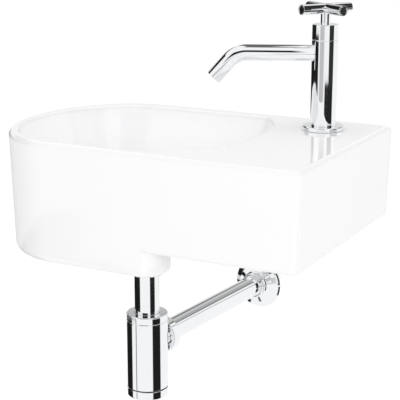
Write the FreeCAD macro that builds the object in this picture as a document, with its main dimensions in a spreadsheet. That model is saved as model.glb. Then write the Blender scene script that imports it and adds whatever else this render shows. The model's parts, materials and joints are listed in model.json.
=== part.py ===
import FreeCAD, Part
import Sketcher
import math
import os
import re

# Wall-hung hand basin with a cold tap, an open waste and a bottle trap.
# The wall is the plane Y = 0 and the room is on its -Y side; X runs along the wall and Z is up.
# The origin is midway between the two wall-fixing holes, on the back face.

# Driving sizes in millimetres, angles in degrees
SIZE_TABLE = [
    ("basin_width", 440, "basin, along the wall"),
    ("basin_depth", 290, "basin, wall to front face"),
    ("basin_height", 150, "rim to the foot of the deep tub"),
    ("step_height", 32, "tub's foot to the underside of the tap block"),
    ("left_end_reach", 112, "round left end, along the wall"),
    ("corner_radius", 7, "front right corner in plan"),
    ("draft_angle", 1.6, "lean of the outer walls"),
    ("tub_length", 260, "left end to the right wall of the tub"),
    ("tub_corner_radius", 34, "right corners of the tub in plan"),
    ("tub_return", 42, "tub's right wall, from the front face"),
    ("rim_left", 11, "rim at the round end"),
    ("rim_front", 12, "rim along the front"),
    ("rim_back", 20, "rim along the wall"),
    ("rim_rounding", 6, "outer edge of the rim"),
    ("lip_rounding", 3.5, "edge of the bowl"),
    ("foot_rounding", 5, "lower edge of the tap block"),
    ("tub_foot_rounding", 9, "lower edge of the tub"),
    ("deck_length", 120, "tap deck, right face to the bowl"),
    ("deck_thickness", 14, "ceramic under the tap"),
    ("shell_wall", 12, "skirt and bowl walls"),
    ("back_wall", 14, "ceramic against the wall"),
    ("floor_rise", 28, "tub's foot to the bowl's floor"),
    ("floor_wall", 13, "ceramic under the bowl's floor"),
    ("floor_left", 107, "drain to the left edge of the floor"),
    ("floor_right", 45, "drain to the right edge of the floor"),
    ("floor_front", 53, "drain to the front edge of the floor"),
    ("floor_back", 62, "drain to the back edge of the floor"),
    ("drain_from_step", 75.3, "tub's right wall to the drain"),
    ("drain_from_wall", 175, "wall to the drain"),
    ("drain_gap", 1.8, "around the waste in its hole"),
    ("dish_d", 86, "fall around the drain"),
    ("dish_depth", 4, "fall around the drain"),
    ("boss_d", 70, "thickened seat under the drain"),
    ("boss_drop", 4, "thickened seat under the drain"),
    ("fixing_drop", 80, "rim to the wall-fixing holes"),
    ("fixing_spacing", 180, "between the wall-fixing holes"),
    ("fixing_hole_d", 12, "wall-fixing hole"),
    ("nut_pocket_width", 32, "spanner room behind the bowl"),
    ("nut_pocket_depth", 24, "spanner room behind the bowl"),
    ("nut_pocket_rise", 17, "spanner room above the hole"),
    ("tap_from_right", 66.5, "right face to the tap"),
    ("tap_from_wall", 64, "wall to the tap"),
    ("tap_hole_d", 34, "hole for the tap"),
    ("deck_seal_d", 46, "rubber seal under the tap flange"),
    ("deck_seal_thickness", 1, "rubber seal under the tap flange"),
    ("flange_d", 52, "tap flange"),
    ("flange_height", 4.5, "tap flange"),
    ("edge_bevel", 0.8, "turned edges"),
    ("column_d", 32, "tap column"),
    ("column_top", 110.5, "deck to the bonnet seam"),
    ("bonnet_height", 19, "bonnet on the column"),
    ("tail_d", 20.6, "threaded supply tail"),
    ("tail_bore_d", 12, "threaded supply tail"),
    ("tail_socket", 14, "tail inside the column"),
    ("tail_free", 5, "tail below its nut"),
    ("inlet_end_d", 20, "supply end of the tail"),
    ("inlet_end_length", 25, "supply end of the tail"),
    ("waterway_d", 14, "bore of the column"),
    ("valve_depth", 25, "column's top to the valve seat"),
    ("valve_chamber_d", 21, "chamber around the headwork"),
    ("washer_d", 42, "washers under the deck"),
    ("rubber_washer_thickness", 3, "rubber washer"),
    ("steel_washer_thickness", 1.5, "steel washer"),
    ("tap_nut_flats", 32, "tap backnut across flats"),
    ("tap_nut_height", 8, "tap backnut"),
    ("spout_drop", 16.5, "column's top to the spout's axis"),
    ("spout_d", 20, "spout tube"),
    ("spout_wall", 1.2, "spout tube"),
    ("spout_seat", 11.3, "tap axis to the spout's inner end"),
    ("spout_straight", 94, "tap axis to the bend"),
    ("spout_bend_radius", 30, "bend, on the tube's axis"),
    ("spout_bend_angle", 48, "bend"),
    ("spout_end", 28, "straight end after the bend"),
    ("spout_swing", 23, "spout, from along the wall towards the front"),
    ("spout_port_d", 12, "port from the chamber to the spout"),
    ("nozzle_length", 6, "nozzle in the spout's end"),
    ("nozzle_setback", 1, "nozzle in the spout's end"),
    ("nozzle_hole_d", 3, "nozzle holes"),
    ("nozzle_circle_d", 9, "nozzle holes"),
    ("seat_seal_d", 19, "rubber ring on the valve seat"),
    ("seat_seal_bore_d", 13, "rubber ring on the valve seat"),
    ("seat_seal_thickness", 2, "rubber ring on the valve seat"),
    ("disc_d", 17.2, "ceramic discs"),
    ("disc_thickness", 3.5, "ceramic discs"),
    ("disc_port_d", 5.6, "ports in the discs"),
    ("disc_port_circle_d", 9, "ports in the discs"),
    ("headwork_d", 20.4, "valve body"),
    ("bonnet_gap", 0.4, "around the valve body in the bonnet"),
    ("headwork_flange_height", 3, "valve body"),
    ("headwork_neck_d", 18, "valve body"),
    ("headwork_neck_height", 10, "valve body"),
    ("window_d", 3, "water windows in the valve body"),
    ("gland_d", 13, "gland ring"),
    ("gland_height", 3, "gland ring"),
    ("spindle_d", 8, "spindle"),
    ("drive_head_height", 4, "spindle's head on the moving disc"),
    ("bonnet_wall", 1.6, "bonnet"),
    ("bonnet_roof", 3, "bonnet"),
    ("neck_d", 12, "neck of the cross handle"),
    ("neck_sink", 4, "neck inside the bonnet"),
    ("bar_d", 12.5, "bars of the cross handle"),
    ("bar_length", 71, "bars of the cross handle"),
    ("bar_rise", 18.5, "bonnet to the axes of the bars"),
    ("bar_turn", 57, "first bar, from along the wall"),
    ("spindle_cover", 2, "handle above the spindle"),
    ("grub_d", 3, "grub screw"),
    ("grub_length", 2.6, "grub screw"),
    ("grub_rise", 7, "bonnet to the grub screw"),
    ("grub_key_flats", 1.5, "key socket of the grub screw"),
    ("grub_key_depth", 1.3, "key socket of the grub screw"),
    ("waste_flange_d", 64, "waste flange"),
    ("waste_flange_height", 2.5, "waste flange"),
    ("waste_seal_d", 60, "seal under the waste flange"),
    ("waste_seal_thickness", 1.5, "seal under the waste flange"),
    ("waste_thread_d", 41.4, "waste tube"),
    ("waste_bore_d", 34, "waste tube"),
    ("waste_tail", 35, "waste tube below the basin"),
    ("bridge_width", 8, "bridge across the waste"),
    ("bridge_height", 5, "bridge across the waste"),
    ("bridge_drop", 12, "flange to the top of the bridge"),
    ("bridge_boss_d", 14, "bridge across the waste"),
    ("cap_d", 60, "waste cap"),
    ("cap_height", 4, "waste cap"),
    ("cap_lift", 6, "water gap under the waste cap"),
    ("cap_stem_d", 8, "stem of the waste cap"),
    ("cap_thread_d", 5.4, "stem of the waste cap"),
    ("lower_seal_d", 58, "seal under the basin"),
    ("lower_seal_thickness", 3, "seal under the basin"),
    ("waste_nut_flats", 50, "waste backnut across flats"),
    ("waste_nut_height", 9, "waste backnut"),
    ("union_wall", 3, "union nut"),
    ("union_nut_height", 24, "union nut"),
    ("union_lip", 3, "union nut"),
    ("union_seal_thickness", 2, "union seal"),
    ("collar_gap", 0.4, "waste thread to the collar's edge"),
    ("inlet_collar_height", 2.5, "collar of the inlet tube"),
    ("inlet_tube_d", 32, "trap inlet tube"),
    ("inlet_tube_wall", 1.2, "trap inlet tube"),
    ("dip_depth", 36, "inlet tube below the outlet's axis"),
    ("trap_drop", 84, "tub's foot to the top of the trap"),
    ("trap_d", 53, "trap"),
    ("trap_wall", 3, "trap"),
    ("trap_cap_height", 9.5, "trap top cap"),
    ("trap_cap_spigot", 9.5, "trap top cap inside the body"),
    ("top_seal_height", 6, "seal around the inlet tube"),
    ("top_seal_width", 2.6, "seal around the inlet tube"),
    ("trap_body_height", 89.5, "trap body"),
    ("base_seal_thickness", 1.5, "seal of the base cup"),
    ("base_cup_height", 10.5, "base cup"),
    ("base_spigot", 10, "base cup inside the body"),
    ("cup_floor", 3, "base cup"),
    ("cup_wall", 2.6, "base cup"),
    ("outlet_drop", 41, "trap top to the outlet's axis"),
    ("outlet_spigot_d", 34.6, "outlet of the trap"),
    ("outlet_spigot_length", 10, "outlet of the trap, from its wall"),
    ("outlet_turn", 5, "outlet, from square to the wall towards the right"),
    ("outlet_bore_d", 26, "outlet of the trap"),
    ("outlet_nut_d", 48, "outlet nut"),
    ("outlet_nut_gap", 0.6, "trap's wall to the outlet nut"),
    ("outlet_seal_thickness", 2, "seal at the outlet"),
    ("outlet_lip", 2.4, "outlet nut"),
    ("outlet_pipe_d", 30, "outlet pipe"),
    ("outlet_pipe_wall", 1.2, "outlet pipe"),
    ("pipe_socket", 8, "outlet pipe inside the trap's outlet"),
    ("pipe_end_d", 29.4, "outlet pipe behind the rosette"),
    ("wall_insert", 40, "outlet pipe behind the rosette"),
    ("rosette_reach", 285, "trap axis to the rosette, on the uncut pipe"),
    ("rosette_d", 73, "wall rosette"),
    ("rosette_edge", 2.2, "wall rosette"),
    ("rosette_dish", 9, "wall rosette"),
    ("rosette_hub_d", 36, "wall rosette"),
    ("rosette_hub_length", 18, "wall rosette"),
    ("rosette_wall", 1.6, "wall rosette"),
    ("running_gap", 0.08, "radial gap of pieces that turn or slide"),
    ("slip_gap", 0.3, "radial gap of threads and loose fits"),
    ("overrun", 5, "how far a cut runs past its piece"),
]

doc = FreeCAD.newDocument("HandBasin")
sheet = doc.addObject("Spreadsheet::Sheet", "Sizes")
for row, (alias, value, note) in enumerate(SIZE_TABLE, start=1):
    sheet.set("A%d" % row, note)
    sheet.set("B%d" % row, str(value))
    sheet.setAlias("B%d" % row, alias)
doc.recompute()
size = {alias: float(sheet.get(alias)) for alias, value, note in SIZE_TABLE}
pieces = []

# Places and heights, as formulas in the sheet's names
TAP_X = "((basin_width - left_end_reach) / 2 - tap_from_right)"
TAP_Y = "(0 - tap_from_wall)"
DRAIN_X = "(tub_length - drain_from_step - (basin_width + left_end_reach) / 2)"
DRAIN_Y = "(0 - drain_from_wall)"
RIM = "fixing_drop"
TUB_FOOT = "(fixing_drop - basin_height)"
DISH_FLOOR = "(%s + floor_rise - dish_depth)" % TUB_FOOT
BOSS_FOOT = "(%s + floor_rise - floor_wall - boss_drop)" % TUB_FOOT
WASTE_FOOT = "(%s - waste_tail)" % BOSS_FOOT
OUTLET_LEVEL = "(%s - trap_drop - outlet_drop)" % TUB_FOOT

# Heights above the deck, used by the tap's pieces
COLUMN_FOOT = "(deck_seal_thickness + flange_height)"
TAP_TOP = "(column_top + bonnet_height)"
BAR_LEVEL = "(%s + bar_rise)" % TAP_TOP
GRUB_LEVEL = "(%s + grub_rise)" % TAP_TOP
SPOUT_LEVEL = "(column_top - spout_drop)"
VALVE_SEAT = "(column_top - valve_depth)"
SEAL_TOP = "(%s + seat_seal_thickness)" % VALVE_SEAT
MOVING_FOOT = "(%s + disc_thickness + running_gap)" % SEAL_TOP
DRIVE_FOOT = "(%s + disc_thickness)" % MOVING_FOOT
DRIVE_TOP = "(%s + drive_head_height)" % DRIVE_FOOT
HEADWORK_TOP = "(column_top + headwork_flange_height + headwork_neck_height)"
SPINDLE_TOP = "(%s - spindle_cover)" % BAR_LEVEL
HEADWORK_EDGE = "(column_d / 2 - bonnet_wall - bonnet_gap)"

# Heights above the waste tube's end, used by the waste's pieces
FLANGE_FOOT = "(waste_tail + boss_drop + floor_wall - dish_depth + waste_seal_thickness)"
FLANGE_TOP = "(%s + waste_flange_height)" % FLANGE_FOOT
BRIDGE_TOP = "(%s - bridge_drop)" % FLANGE_TOP
CAP_FOOT = "(%s + cap_lift)" % FLANGE_TOP

# Heights above the trap's foot, used by the trap's pieces
BODY_FOOT = "(base_cup_height + base_seal_thickness)"
BODY_TOP = "(%s + trap_body_height)" % BODY_FOOT
TRAP_TOP = "(%s + trap_cap_height)" % BODY_TOP
OUTLET_AXIS = "(%s - outlet_drop)" % TRAP_TOP
DIP_END = "(%s - dip_depth)" % OUTLET_AXIS
TRAP_FOOT = "(%s - trap_drop - %s)" % (TUB_FOOT, TRAP_TOP)
TUBE_TOP = "(%s - union_seal_thickness - %s)" % (WASTE_FOOT, TRAP_FOOT)
UNION_FOOT = "(%s - union_seal_thickness - inlet_collar_height - union_lip)" % WASTE_FOOT
UNION_EDGE = "(waste_thread_d / 2 + slip_gap + union_wall)"
COLLAR_EDGE = "(waste_thread_d / 2 - collar_gap)"

# Distances from the trap's axis along its outlet
NUT_START = "(trap_d / 2 + outlet_nut_gap)"
SPIGOT_END = "(trap_d / 2 + outlet_spigot_length)"

# Directions of pieces that don't stand upright: their own Z axis points there
UPRIGHT = FreeCAD.Rotation()
TO_WALL = FreeCAD.Rotation(FreeCAD.Vector(1, 0, 0), -90)
TO_ROOM = FreeCAD.Rotation(FreeCAD.Vector(1, 0, 0), 90)
ALONG_X = FreeCAD.Rotation(FreeCAD.Vector(0, 1, 0), 90)


def bound(formula):
    return re.sub(r"[a-z]\w*", lambda word: "Sizes." + word[0] if word[0] in size else word[0], formula)


def place(piece, x="0", y="0", z="0", direction=UPRIGHT, turn=None):
    piece.Placement = FreeCAD.Placement(FreeCAD.Vector(), direction)
    for axis, formula in zip("xyz", (x, y, z)):
        piece.setExpression("Placement.Base." + axis, bound(formula))
    if turn:
        piece.Placement = FreeCAD.Placement(FreeCAD.Vector(), FreeCAD.Rotation(FreeCAD.Vector(0, 0, 1), 1))
        piece.setExpression("Placement.Rotation.Angle", bound(turn))
    return piece


def finished(piece, label):
    piece.Label = label
    pieces.append(piece)
    return piece


def origin_plane(body, role):
    return [plane for plane in body.Origin.OriginFeatures if plane.Role == role][0]


# A turned piece: its half section has one corner for each (radius, height) pair
def turned(name, corners):
    body = doc.addObject("PartDesign::Body", name)
    sketch = body.newObject("Sketcher::SketchObject", name + "_section")
    sketch.AttachmentSupport = (origin_plane(body, "XZ_Plane"), [""])
    sketch.MapMode = "FlatFace"
    count = len(corners)
    ring = [2 * math.pi * index / count for index in range(count + 1)]
    starts = [FreeCAD.Vector(math.cos(angle), math.sin(angle), 0) for angle in ring]
    sketch.addGeometry([Part.LineSegment(starts[index], starts[index + 1]) for index in range(count)])
    rules = [Sketcher.Constraint("Coincident", index, 2, (index + 1) % count, 1) for index in range(count)]
    for index in range(count):
        rules.append(Sketcher.Constraint("DistanceX", -1, 1, index, 1, starts[index].x))
        rules.append(Sketcher.Constraint("DistanceY", -1, 1, index, 1, starts[index].y))
    sketch.addConstraint(rules)
    for index, (radius, height) in enumerate(corners):
        sketch.setExpression("Constraints[%d]" % (count + 2 * index), bound(radius))
        sketch.setExpression("Constraints[%d]" % (count + 2 * index + 1), bound(height))
    spin = body.newObject("PartDesign::Revolution", name + "_turn")
    spin.Profile = sketch
    spin.ReferenceAxis = (sketch, ["V_Axis"])
    body.Tip = spin
    return body


def ring(name, inner, outer, foot, top):
    return turned(name, [(inner, foot), (outer, foot), (outer, top), (inner, top)])


def rod(name, radius, length, x="0", y="0", z="0", direction=UPRIGHT):
    cylinder = doc.addObject("Part::Cylinder", name)
    cylinder.setExpression("Radius", bound(radius))
    cylinder.setExpression("Height", bound(length))
    return place(cylinder, x, y, z, direction)


def joined(name, shapes):
    fuse = doc.addObject("Part::MultiFuse", name)
    fuse.Shapes = shapes
    return fuse


def bored(name, base, tools):
    cut = doc.addObject("Part::Cut", name)
    cut.Base = base
    cut.Tool = tools[0] if len(tools) == 1 else joined(name + "_bores", tools)
    return cut


def hex_nut(name, flats, height, bore):
    prism = doc.addObject("Part::Prism", name + "_blank")
    prism.Polygon = 6
    prism.setExpression("Circumradius", bound("%s / 2 / cos(30deg)" % flats))
    prism.setExpression("Height", bound(height))
    hole = rod(name + "_thread", bore, "%s + 2 * overrun" % height, z="0 - overrun")
    return bored(name, prism, [hole])


# Quarter of an ellipse between two points, tangent to the legs that meet in the corner
def quarter(start, corner, end):
    curve = Part.BezierCurve()
    curve.setPoles([start, corner, end])
    curve.setWeight(2, math.sqrt(0.5))
    return curve.toShape()


def straight(start, end):
    return Part.LineSegment(start, end).toShape()


# Basin: its own frame has X = 0 at mid width, Y = 0 on the wall and Z = 0 on the rim
HALF_WIDTH = size["basin_width"] / 2
LEFT_END_X = size["left_end_reach"] - HALF_WIDTH
LEAN_SHARE = math.tan(math.radians(size["draft_angle"]))
TUB_RIGHT_X = size["tub_length"] - HALF_WIDTH
DRAIN_PLAN_X = TUB_RIGHT_X - size["drain_from_step"]
DRAIN_PLAN_Y = -size["drain_from_wall"]
BOWL_DEPTH = size["basin_height"] - size["floor_rise"]
BLOCK_DEPTH = size["basin_height"] - size["step_height"]


# Outline of the basin at a depth below the rim, run on past the wall's plane, where it is trimmed flat
def outer_outline(depth):
    shift = depth * LEAN_SHARE
    left = shift - HALF_WIDTH
    right = HALF_WIDTH - shift
    front = shift - size["basin_depth"]
    middle = front / 2
    corner = size["corner_radius"]
    past = size["overrun"]

    def at(x, y):
        return FreeCAD.Vector(x, y, -depth)

    return Part.Wire([
        quarter(at(LEFT_END_X, 0), at(left, 0), at(left, middle)),
        quarter(at(left, middle), at(left, front), at(LEFT_END_X, front)),
        straight(at(LEFT_END_X, front), at(right - corner, front)),
        quarter(at(right - corner, front), at(right, front), at(right, front + corner)),
        straight(at(right, front + corner), at(right, past)),
        straight(at(right, past), at(LEFT_END_X, past)),
        straight(at(LEFT_END_X, past), at(LEFT_END_X, 0)),
    ])


# Level outline of the tub's underside, drawn in from the basin's outline and closed on the right
def tub_outline(depth, inset, back):
    shift = depth * LEAN_SHARE + inset
    left = shift - HALF_WIDTH
    front = shift - size["basin_depth"]
    middle = (front + back) / 2
    right = TUB_RIGHT_X - inset
    corner = size["tub_corner_radius"] - inset

    def at(x, y):
        return FreeCAD.Vector(x, y, -depth)

    return Part.Wire([
        quarter(at(LEFT_END_X, back), at(left, back), at(left, middle)),
        quarter(at(left, middle), at(left, front), at(LEFT_END_X, front)),
        straight(at(LEFT_END_X, front), at(right - corner, front)),
        quarter(at(right - corner, front), at(right, front), at(right, front + corner)),
        straight(at(right, front + corner), at(right, back - corner)),
        quarter(at(right, back - corner), at(right, back), at(right - corner, back)),
        straight(at(right - corner, back), at(LEFT_END_X, back)),
    ])


# Shares of the way from the rim's outline to the floor's outline, and of the bowl's depth
BOWL_INSET_SHARES = [0, 0.16, 0.34, 0.56, 0.78, 1]
BOWL_DEPTH_SHARES = [0, 0.35, 0.66, 0.88, 0.97, 1]
BOWL_RIGHT_START_SHARE = 0.65
BOWL_BACK_START_SHARE = 0.84
BOWL_WIDEST_SHARE = 0.46


def bowl_outline(inset_share, depth, grow):
    def between(rim, floor):
        return rim + inset_share * (floor - rim)

    left = between(size["rim_left"] - HALF_WIDTH, DRAIN_PLAN_X - size["floor_left"]) - grow
    right = between(HALF_WIDTH - size["deck_length"], DRAIN_PLAN_X + size["floor_right"]) + grow
    front = between(size["rim_front"] - size["basin_depth"], DRAIN_PLAN_Y - size["floor_front"]) - grow
    back = between(-size["rim_back"], DRAIN_PLAN_Y + size["floor_back"]) + grow
    left_turn = left + (right - left) * size["left_end_reach"] / (size["basin_width"] - size["deck_length"])
    right_turn = left + (right - left) * BOWL_RIGHT_START_SHARE
    back_turn = left + (right - left) * BOWL_BACK_START_SHARE
    middle = (front + back) / 2
    widest = front + (back - front) * BOWL_WIDEST_SHARE

    def at(x, y):
        return FreeCAD.Vector(x, y, -depth)

    return Part.Wire([
        quarter(at(left_turn, back), at(left, back), at(left, middle)),
        quarter(at(left, middle), at(left, front), at(left_turn, front)),
        straight(at(left_turn, front), at(right_turn, front)),
        quarter(at(right_turn, front), at(right, front), at(right, widest)),
        quarter(at(right, widest), at(right, back), at(back_turn, back)),
        straight(at(back_turn, back), at(left_turn, back)),
    ])


# The bowl's hollow, or with a wall around it the shell that holds the hollow
def bowl_form(wall, floor):
    depth = BOWL_DEPTH + floor
    shares = zip(BOWL_INSET_SHARES, BOWL_DEPTH_SHARES)
    return Part.makeLoft([bowl_outline(inset, share * depth, wall) for inset, share in shares], True)


def prism_between(wire_function, top, foot, *details):
    return Part.makeLoft([wire_function(top, *details), wire_function(foot, *details)], True, True)


def post(diameter, x, y, foot, top):
    return Part.makeCylinder(diameter / 2, top - foot, FreeCAD.Vector(x, y, foot))


def block(x_range, y_range, z_range):
    spans = [max(limits) - min(limits) for limits in (x_range, y_range, z_range)]
    return Part.makeBox(*spans, FreeCAD.Vector(min(x_range), min(y_range), min(z_range)))


# Space beside the tub, under the tap block
def step_space():
    top = -BLOCK_DEPTH
    foot = -size["basin_height"] - size["overrun"]
    right = size["basin_width"]
    front = -size["basin_depth"]
    corner = size["tub_corner_radius"]
    past = size["overrun"]

    def at(x, y):
        return FreeCAD.Vector(x, y, foot)

    wire = Part.Wire([
        straight(at(TUB_RIGHT_X - corner, front - past), at(TUB_RIGHT_X - corner, front)),
        quarter(at(TUB_RIGHT_X - corner, front), at(TUB_RIGHT_X, front), at(TUB_RIGHT_X, front + corner)),
        straight(at(TUB_RIGHT_X, front + corner), at(TUB_RIGHT_X, -corner)),
        quarter(at(TUB_RIGHT_X, -corner), at(TUB_RIGHT_X, 0), at(TUB_RIGHT_X - corner, 0)),
        straight(at(TUB_RIGHT_X - corner, 0), at(TUB_RIGHT_X - corner, past)),
        straight(at(TUB_RIGHT_X - corner, past), at(right, past)),
        straight(at(right, past), at(right, front - past)),
        straight(at(right, front - past), at(TUB_RIGHT_X - corner, front - past)),
    ])
    return Part.Face(wire).extrude(FreeCAD.Vector(0, 0, top - foot))


# Edges of a shape at one level, but for the straight ones along the wall
def level_edges(shape, level):
    slack = size["running_gap"]
    found = []
    for edge in shape.Edges:
        box = edge.BoundBox
        if abs(box.ZMin - level) < slack and abs(box.ZMax - level) < slack and box.YMin < -slack:
            found.append(edge)
    return found


def basin_shape():
    past = size["overrun"]
    skirt = size["shell_wall"]
    back = -size["back_wall"]
    floor_foot = -BOWL_DEPTH - size["floor_wall"]
    boss_foot = floor_foot - size["boss_drop"]
    dish_floor = -BOWL_DEPTH - size["dish_depth"]
    fixing_x = size["left_end_reach"] / 2
    half_spacing = size["fixing_spacing"] / 2
    tap_x = HALF_WIDTH - size["tap_from_right"]

    ceramic = prism_between(outer_outline, 0, size["basin_height"])
    beyond_wall = block(
        (-size["basin_width"], size["basin_width"]),
        (0, size["basin_depth"]),
        (-size["basin_height"] - past, past),
    )
    ceramic = ceramic.cut([step_space(), beyond_wall])
    block_foot = level_edges(ceramic, -BLOCK_DEPTH)
    block_foot = [edge for edge in block_foot if edge.BoundBox.XMax > TUB_RIGHT_X + past]
    ceramic = ceramic.makeFillet(size["foot_rounding"], block_foot)
    tub_foot_edges = level_edges(ceramic, -size["basin_height"])
    ceramic = ceramic.makeFillet(size["tub_foot_rounding"], tub_foot_edges)
    ceramic = ceramic.makeFillet(size["rim_rounding"], level_edges(ceramic, 0))

    shell = bowl_form(skirt, size["floor_wall"])
    boss = post(size["boss_d"], DRAIN_PLAN_X, DRAIN_PLAN_Y, boss_foot, floor_foot + past)
    wall_lean = BLOCK_DEPTH * LEAN_SHARE + skirt
    deck_space = block(
        (TUB_RIGHT_X, HALF_WIDTH - wall_lean),
        (back, wall_lean - size["basin_depth"]),
        (-BLOCK_DEPTH - past, -size["deck_thickness"]),
    )
    tub_foot = size["basin_height"] + past
    tub_space = prism_between(tub_outline, BLOCK_DEPTH, tub_foot, skirt, back)
    open_side = block(
        (TUB_RIGHT_X - skirt, TUB_RIGHT_X + past),
        (back, size["tub_return"] - size["basin_depth"]),
        (-tub_foot, -BLOCK_DEPTH),
    )
    pocket_x = fixing_x - half_spacing
    pocket_width = size["nut_pocket_width"] / 2
    nut_pocket = block(
        (pocket_x - pocket_width, pocket_x + pocket_width),
        (back, back - size["nut_pocket_depth"]),
        (-BLOCK_DEPTH - past, size["nut_pocket_rise"] - size["fixing_drop"]),
    )
    ceramic = ceramic.cut(deck_space.cut(shell))
    ceramic = ceramic.cut([space.cut([shell, boss]) for space in (tub_space, open_side)])
    ceramic = ceramic.cut(nut_pocket)
    bowl = bowl_form(0, 0)
    ceramic = ceramic.cut(bowl)
    lip = [edge for edge in level_edges(ceramic, 0) if bowl.isInside(edge.CenterOfMass, past, True)]
    ceramic = ceramic.makeFillet(size["lip_rounding"], lip)

    drain = FreeCAD.Vector(DRAIN_PLAN_X, DRAIN_PLAN_Y, dish_floor)
    seat_r = (size["waste_flange_d"] + size["edge_bevel"]) / 2
    dish = Part.makeCone(seat_r, size["dish_d"] / 2, size["dish_depth"], drain)
    drain_d = size["waste_thread_d"] + 2 * size["drain_gap"]
    drain_hole = post(drain_d, DRAIN_PLAN_X, DRAIN_PLAN_Y, boss_foot - past, dish_floor + past)
    tap_hole = post(size["tap_hole_d"], tap_x, -size["tap_from_wall"], -size["deck_thickness"] - past, past)
    holes = [dish, drain_hole, tap_hole]
    for side in (-half_spacing, half_spacing):
        mouth = FreeCAD.Vector(fixing_x + side, back - past, -size["fixing_drop"])
        length = size["back_wall"] + 2 * past
        holes.append(Part.makeCylinder(size["fixing_hole_d"] / 2, length, mouth, FreeCAD.Vector(0, 1, 0)))
    return ceramic.cut(holes)


basin = doc.addObject("Part::Feature", "basin")
basin.Shape = basin_shape()
finished(place(basin, x="0 - left_end_reach / 2", z=RIM), "basin")

# Tap: flange, column and what holds it to the deck
tap = {"x": TAP_X, "y": TAP_Y, "z": RIM}
seal = ring("deck_seal", "tail_d / 2 + slip_gap", "deck_seal_d / 2", "0", "deck_seal_thickness")
finished(place(seal, **tap), "tap_deck_seal")

flange = turned("flange", [
    ("tail_d / 2 + slip_gap", "deck_seal_thickness"),
    ("flange_d / 2", "deck_seal_thickness"),
    ("flange_d / 2", COLUMN_FOOT + " - edge_bevel"),
    ("flange_d / 2 - edge_bevel", COLUMN_FOOT),
    ("tail_d / 2 + slip_gap", COLUMN_FOOT),
])
finished(place(flange, **tap), "tap_flange")

column_blank = turned("column_blank", [
    ("tail_d / 2 + slip_gap", COLUMN_FOOT),
    ("column_d / 2", COLUMN_FOOT),
    ("column_d / 2", "column_top"),
    ("valve_chamber_d / 2", "column_top"),
    ("valve_chamber_d / 2", VALVE_SEAT),
    ("waterway_d / 2", VALVE_SEAT),
    ("waterway_d / 2", COLUMN_FOOT + " + tail_socket"),
    ("tail_d / 2 + slip_gap", COLUMN_FOOT + " + tail_socket"),
])
spout_socket = rod("spout_socket", "spout_d / 2 + running_gap", "column_d", "spout_seat", z=SPOUT_LEVEL,
                   direction=ALONG_X)
spout_port = rod("spout_port", "spout_port_d / 2", "column_d", z=SPOUT_LEVEL, direction=ALONG_X)
column = bored("column", column_blank, [spout_socket, spout_port])
finished(place(column, turn="180 + spout_swing", **tap), "tap_body")

nut_stack = "(rubber_washer_thickness + steel_washer_thickness + tap_nut_height)"
tail_below_deck = "(inlet_end_length + tail_free + %s)" % nut_stack
tail_foot = "(fixing_drop - deck_thickness - %s)" % tail_below_deck
tail_top = "(%s + deck_thickness + %s + tail_socket)" % (tail_below_deck, COLUMN_FOOT)
tail = turned("tail", [
    ("tail_bore_d / 2", "0"),
    ("inlet_end_d / 2", "0"),
    ("inlet_end_d / 2", "inlet_end_length"),
    ("tail_d / 2", "inlet_end_length"),
    ("tail_d / 2", tail_top),
    ("tail_bore_d / 2", tail_top),
])
finished(place(tail, TAP_X, TAP_Y, tail_foot), "tap_tail")

tail_hole = "tail_d / 2 + slip_gap"
rubber_washer = ring("rubber_washer", tail_hole, "washer_d / 2", "0", "rubber_washer_thickness")
rubber_foot = "fixing_drop - deck_thickness - rubber_washer_thickness"
finished(place(rubber_washer, TAP_X, TAP_Y, rubber_foot), "tap_rubber_washer")

steel_washer = ring("steel_washer", tail_hole, "washer_d / 2", "0", "steel_washer_thickness")
steel_foot = rubber_foot + " - steel_washer_thickness"
finished(place(steel_washer, TAP_X, TAP_Y, steel_foot), "tap_steel_washer")

tap_nut = hex_nut("tap_nut", "tap_nut_flats", "tap_nut_height", tail_hole)
finished(place(tap_nut, TAP_X, TAP_Y, steel_foot + " - tap_nut_height"), "tap_backnut")


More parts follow.
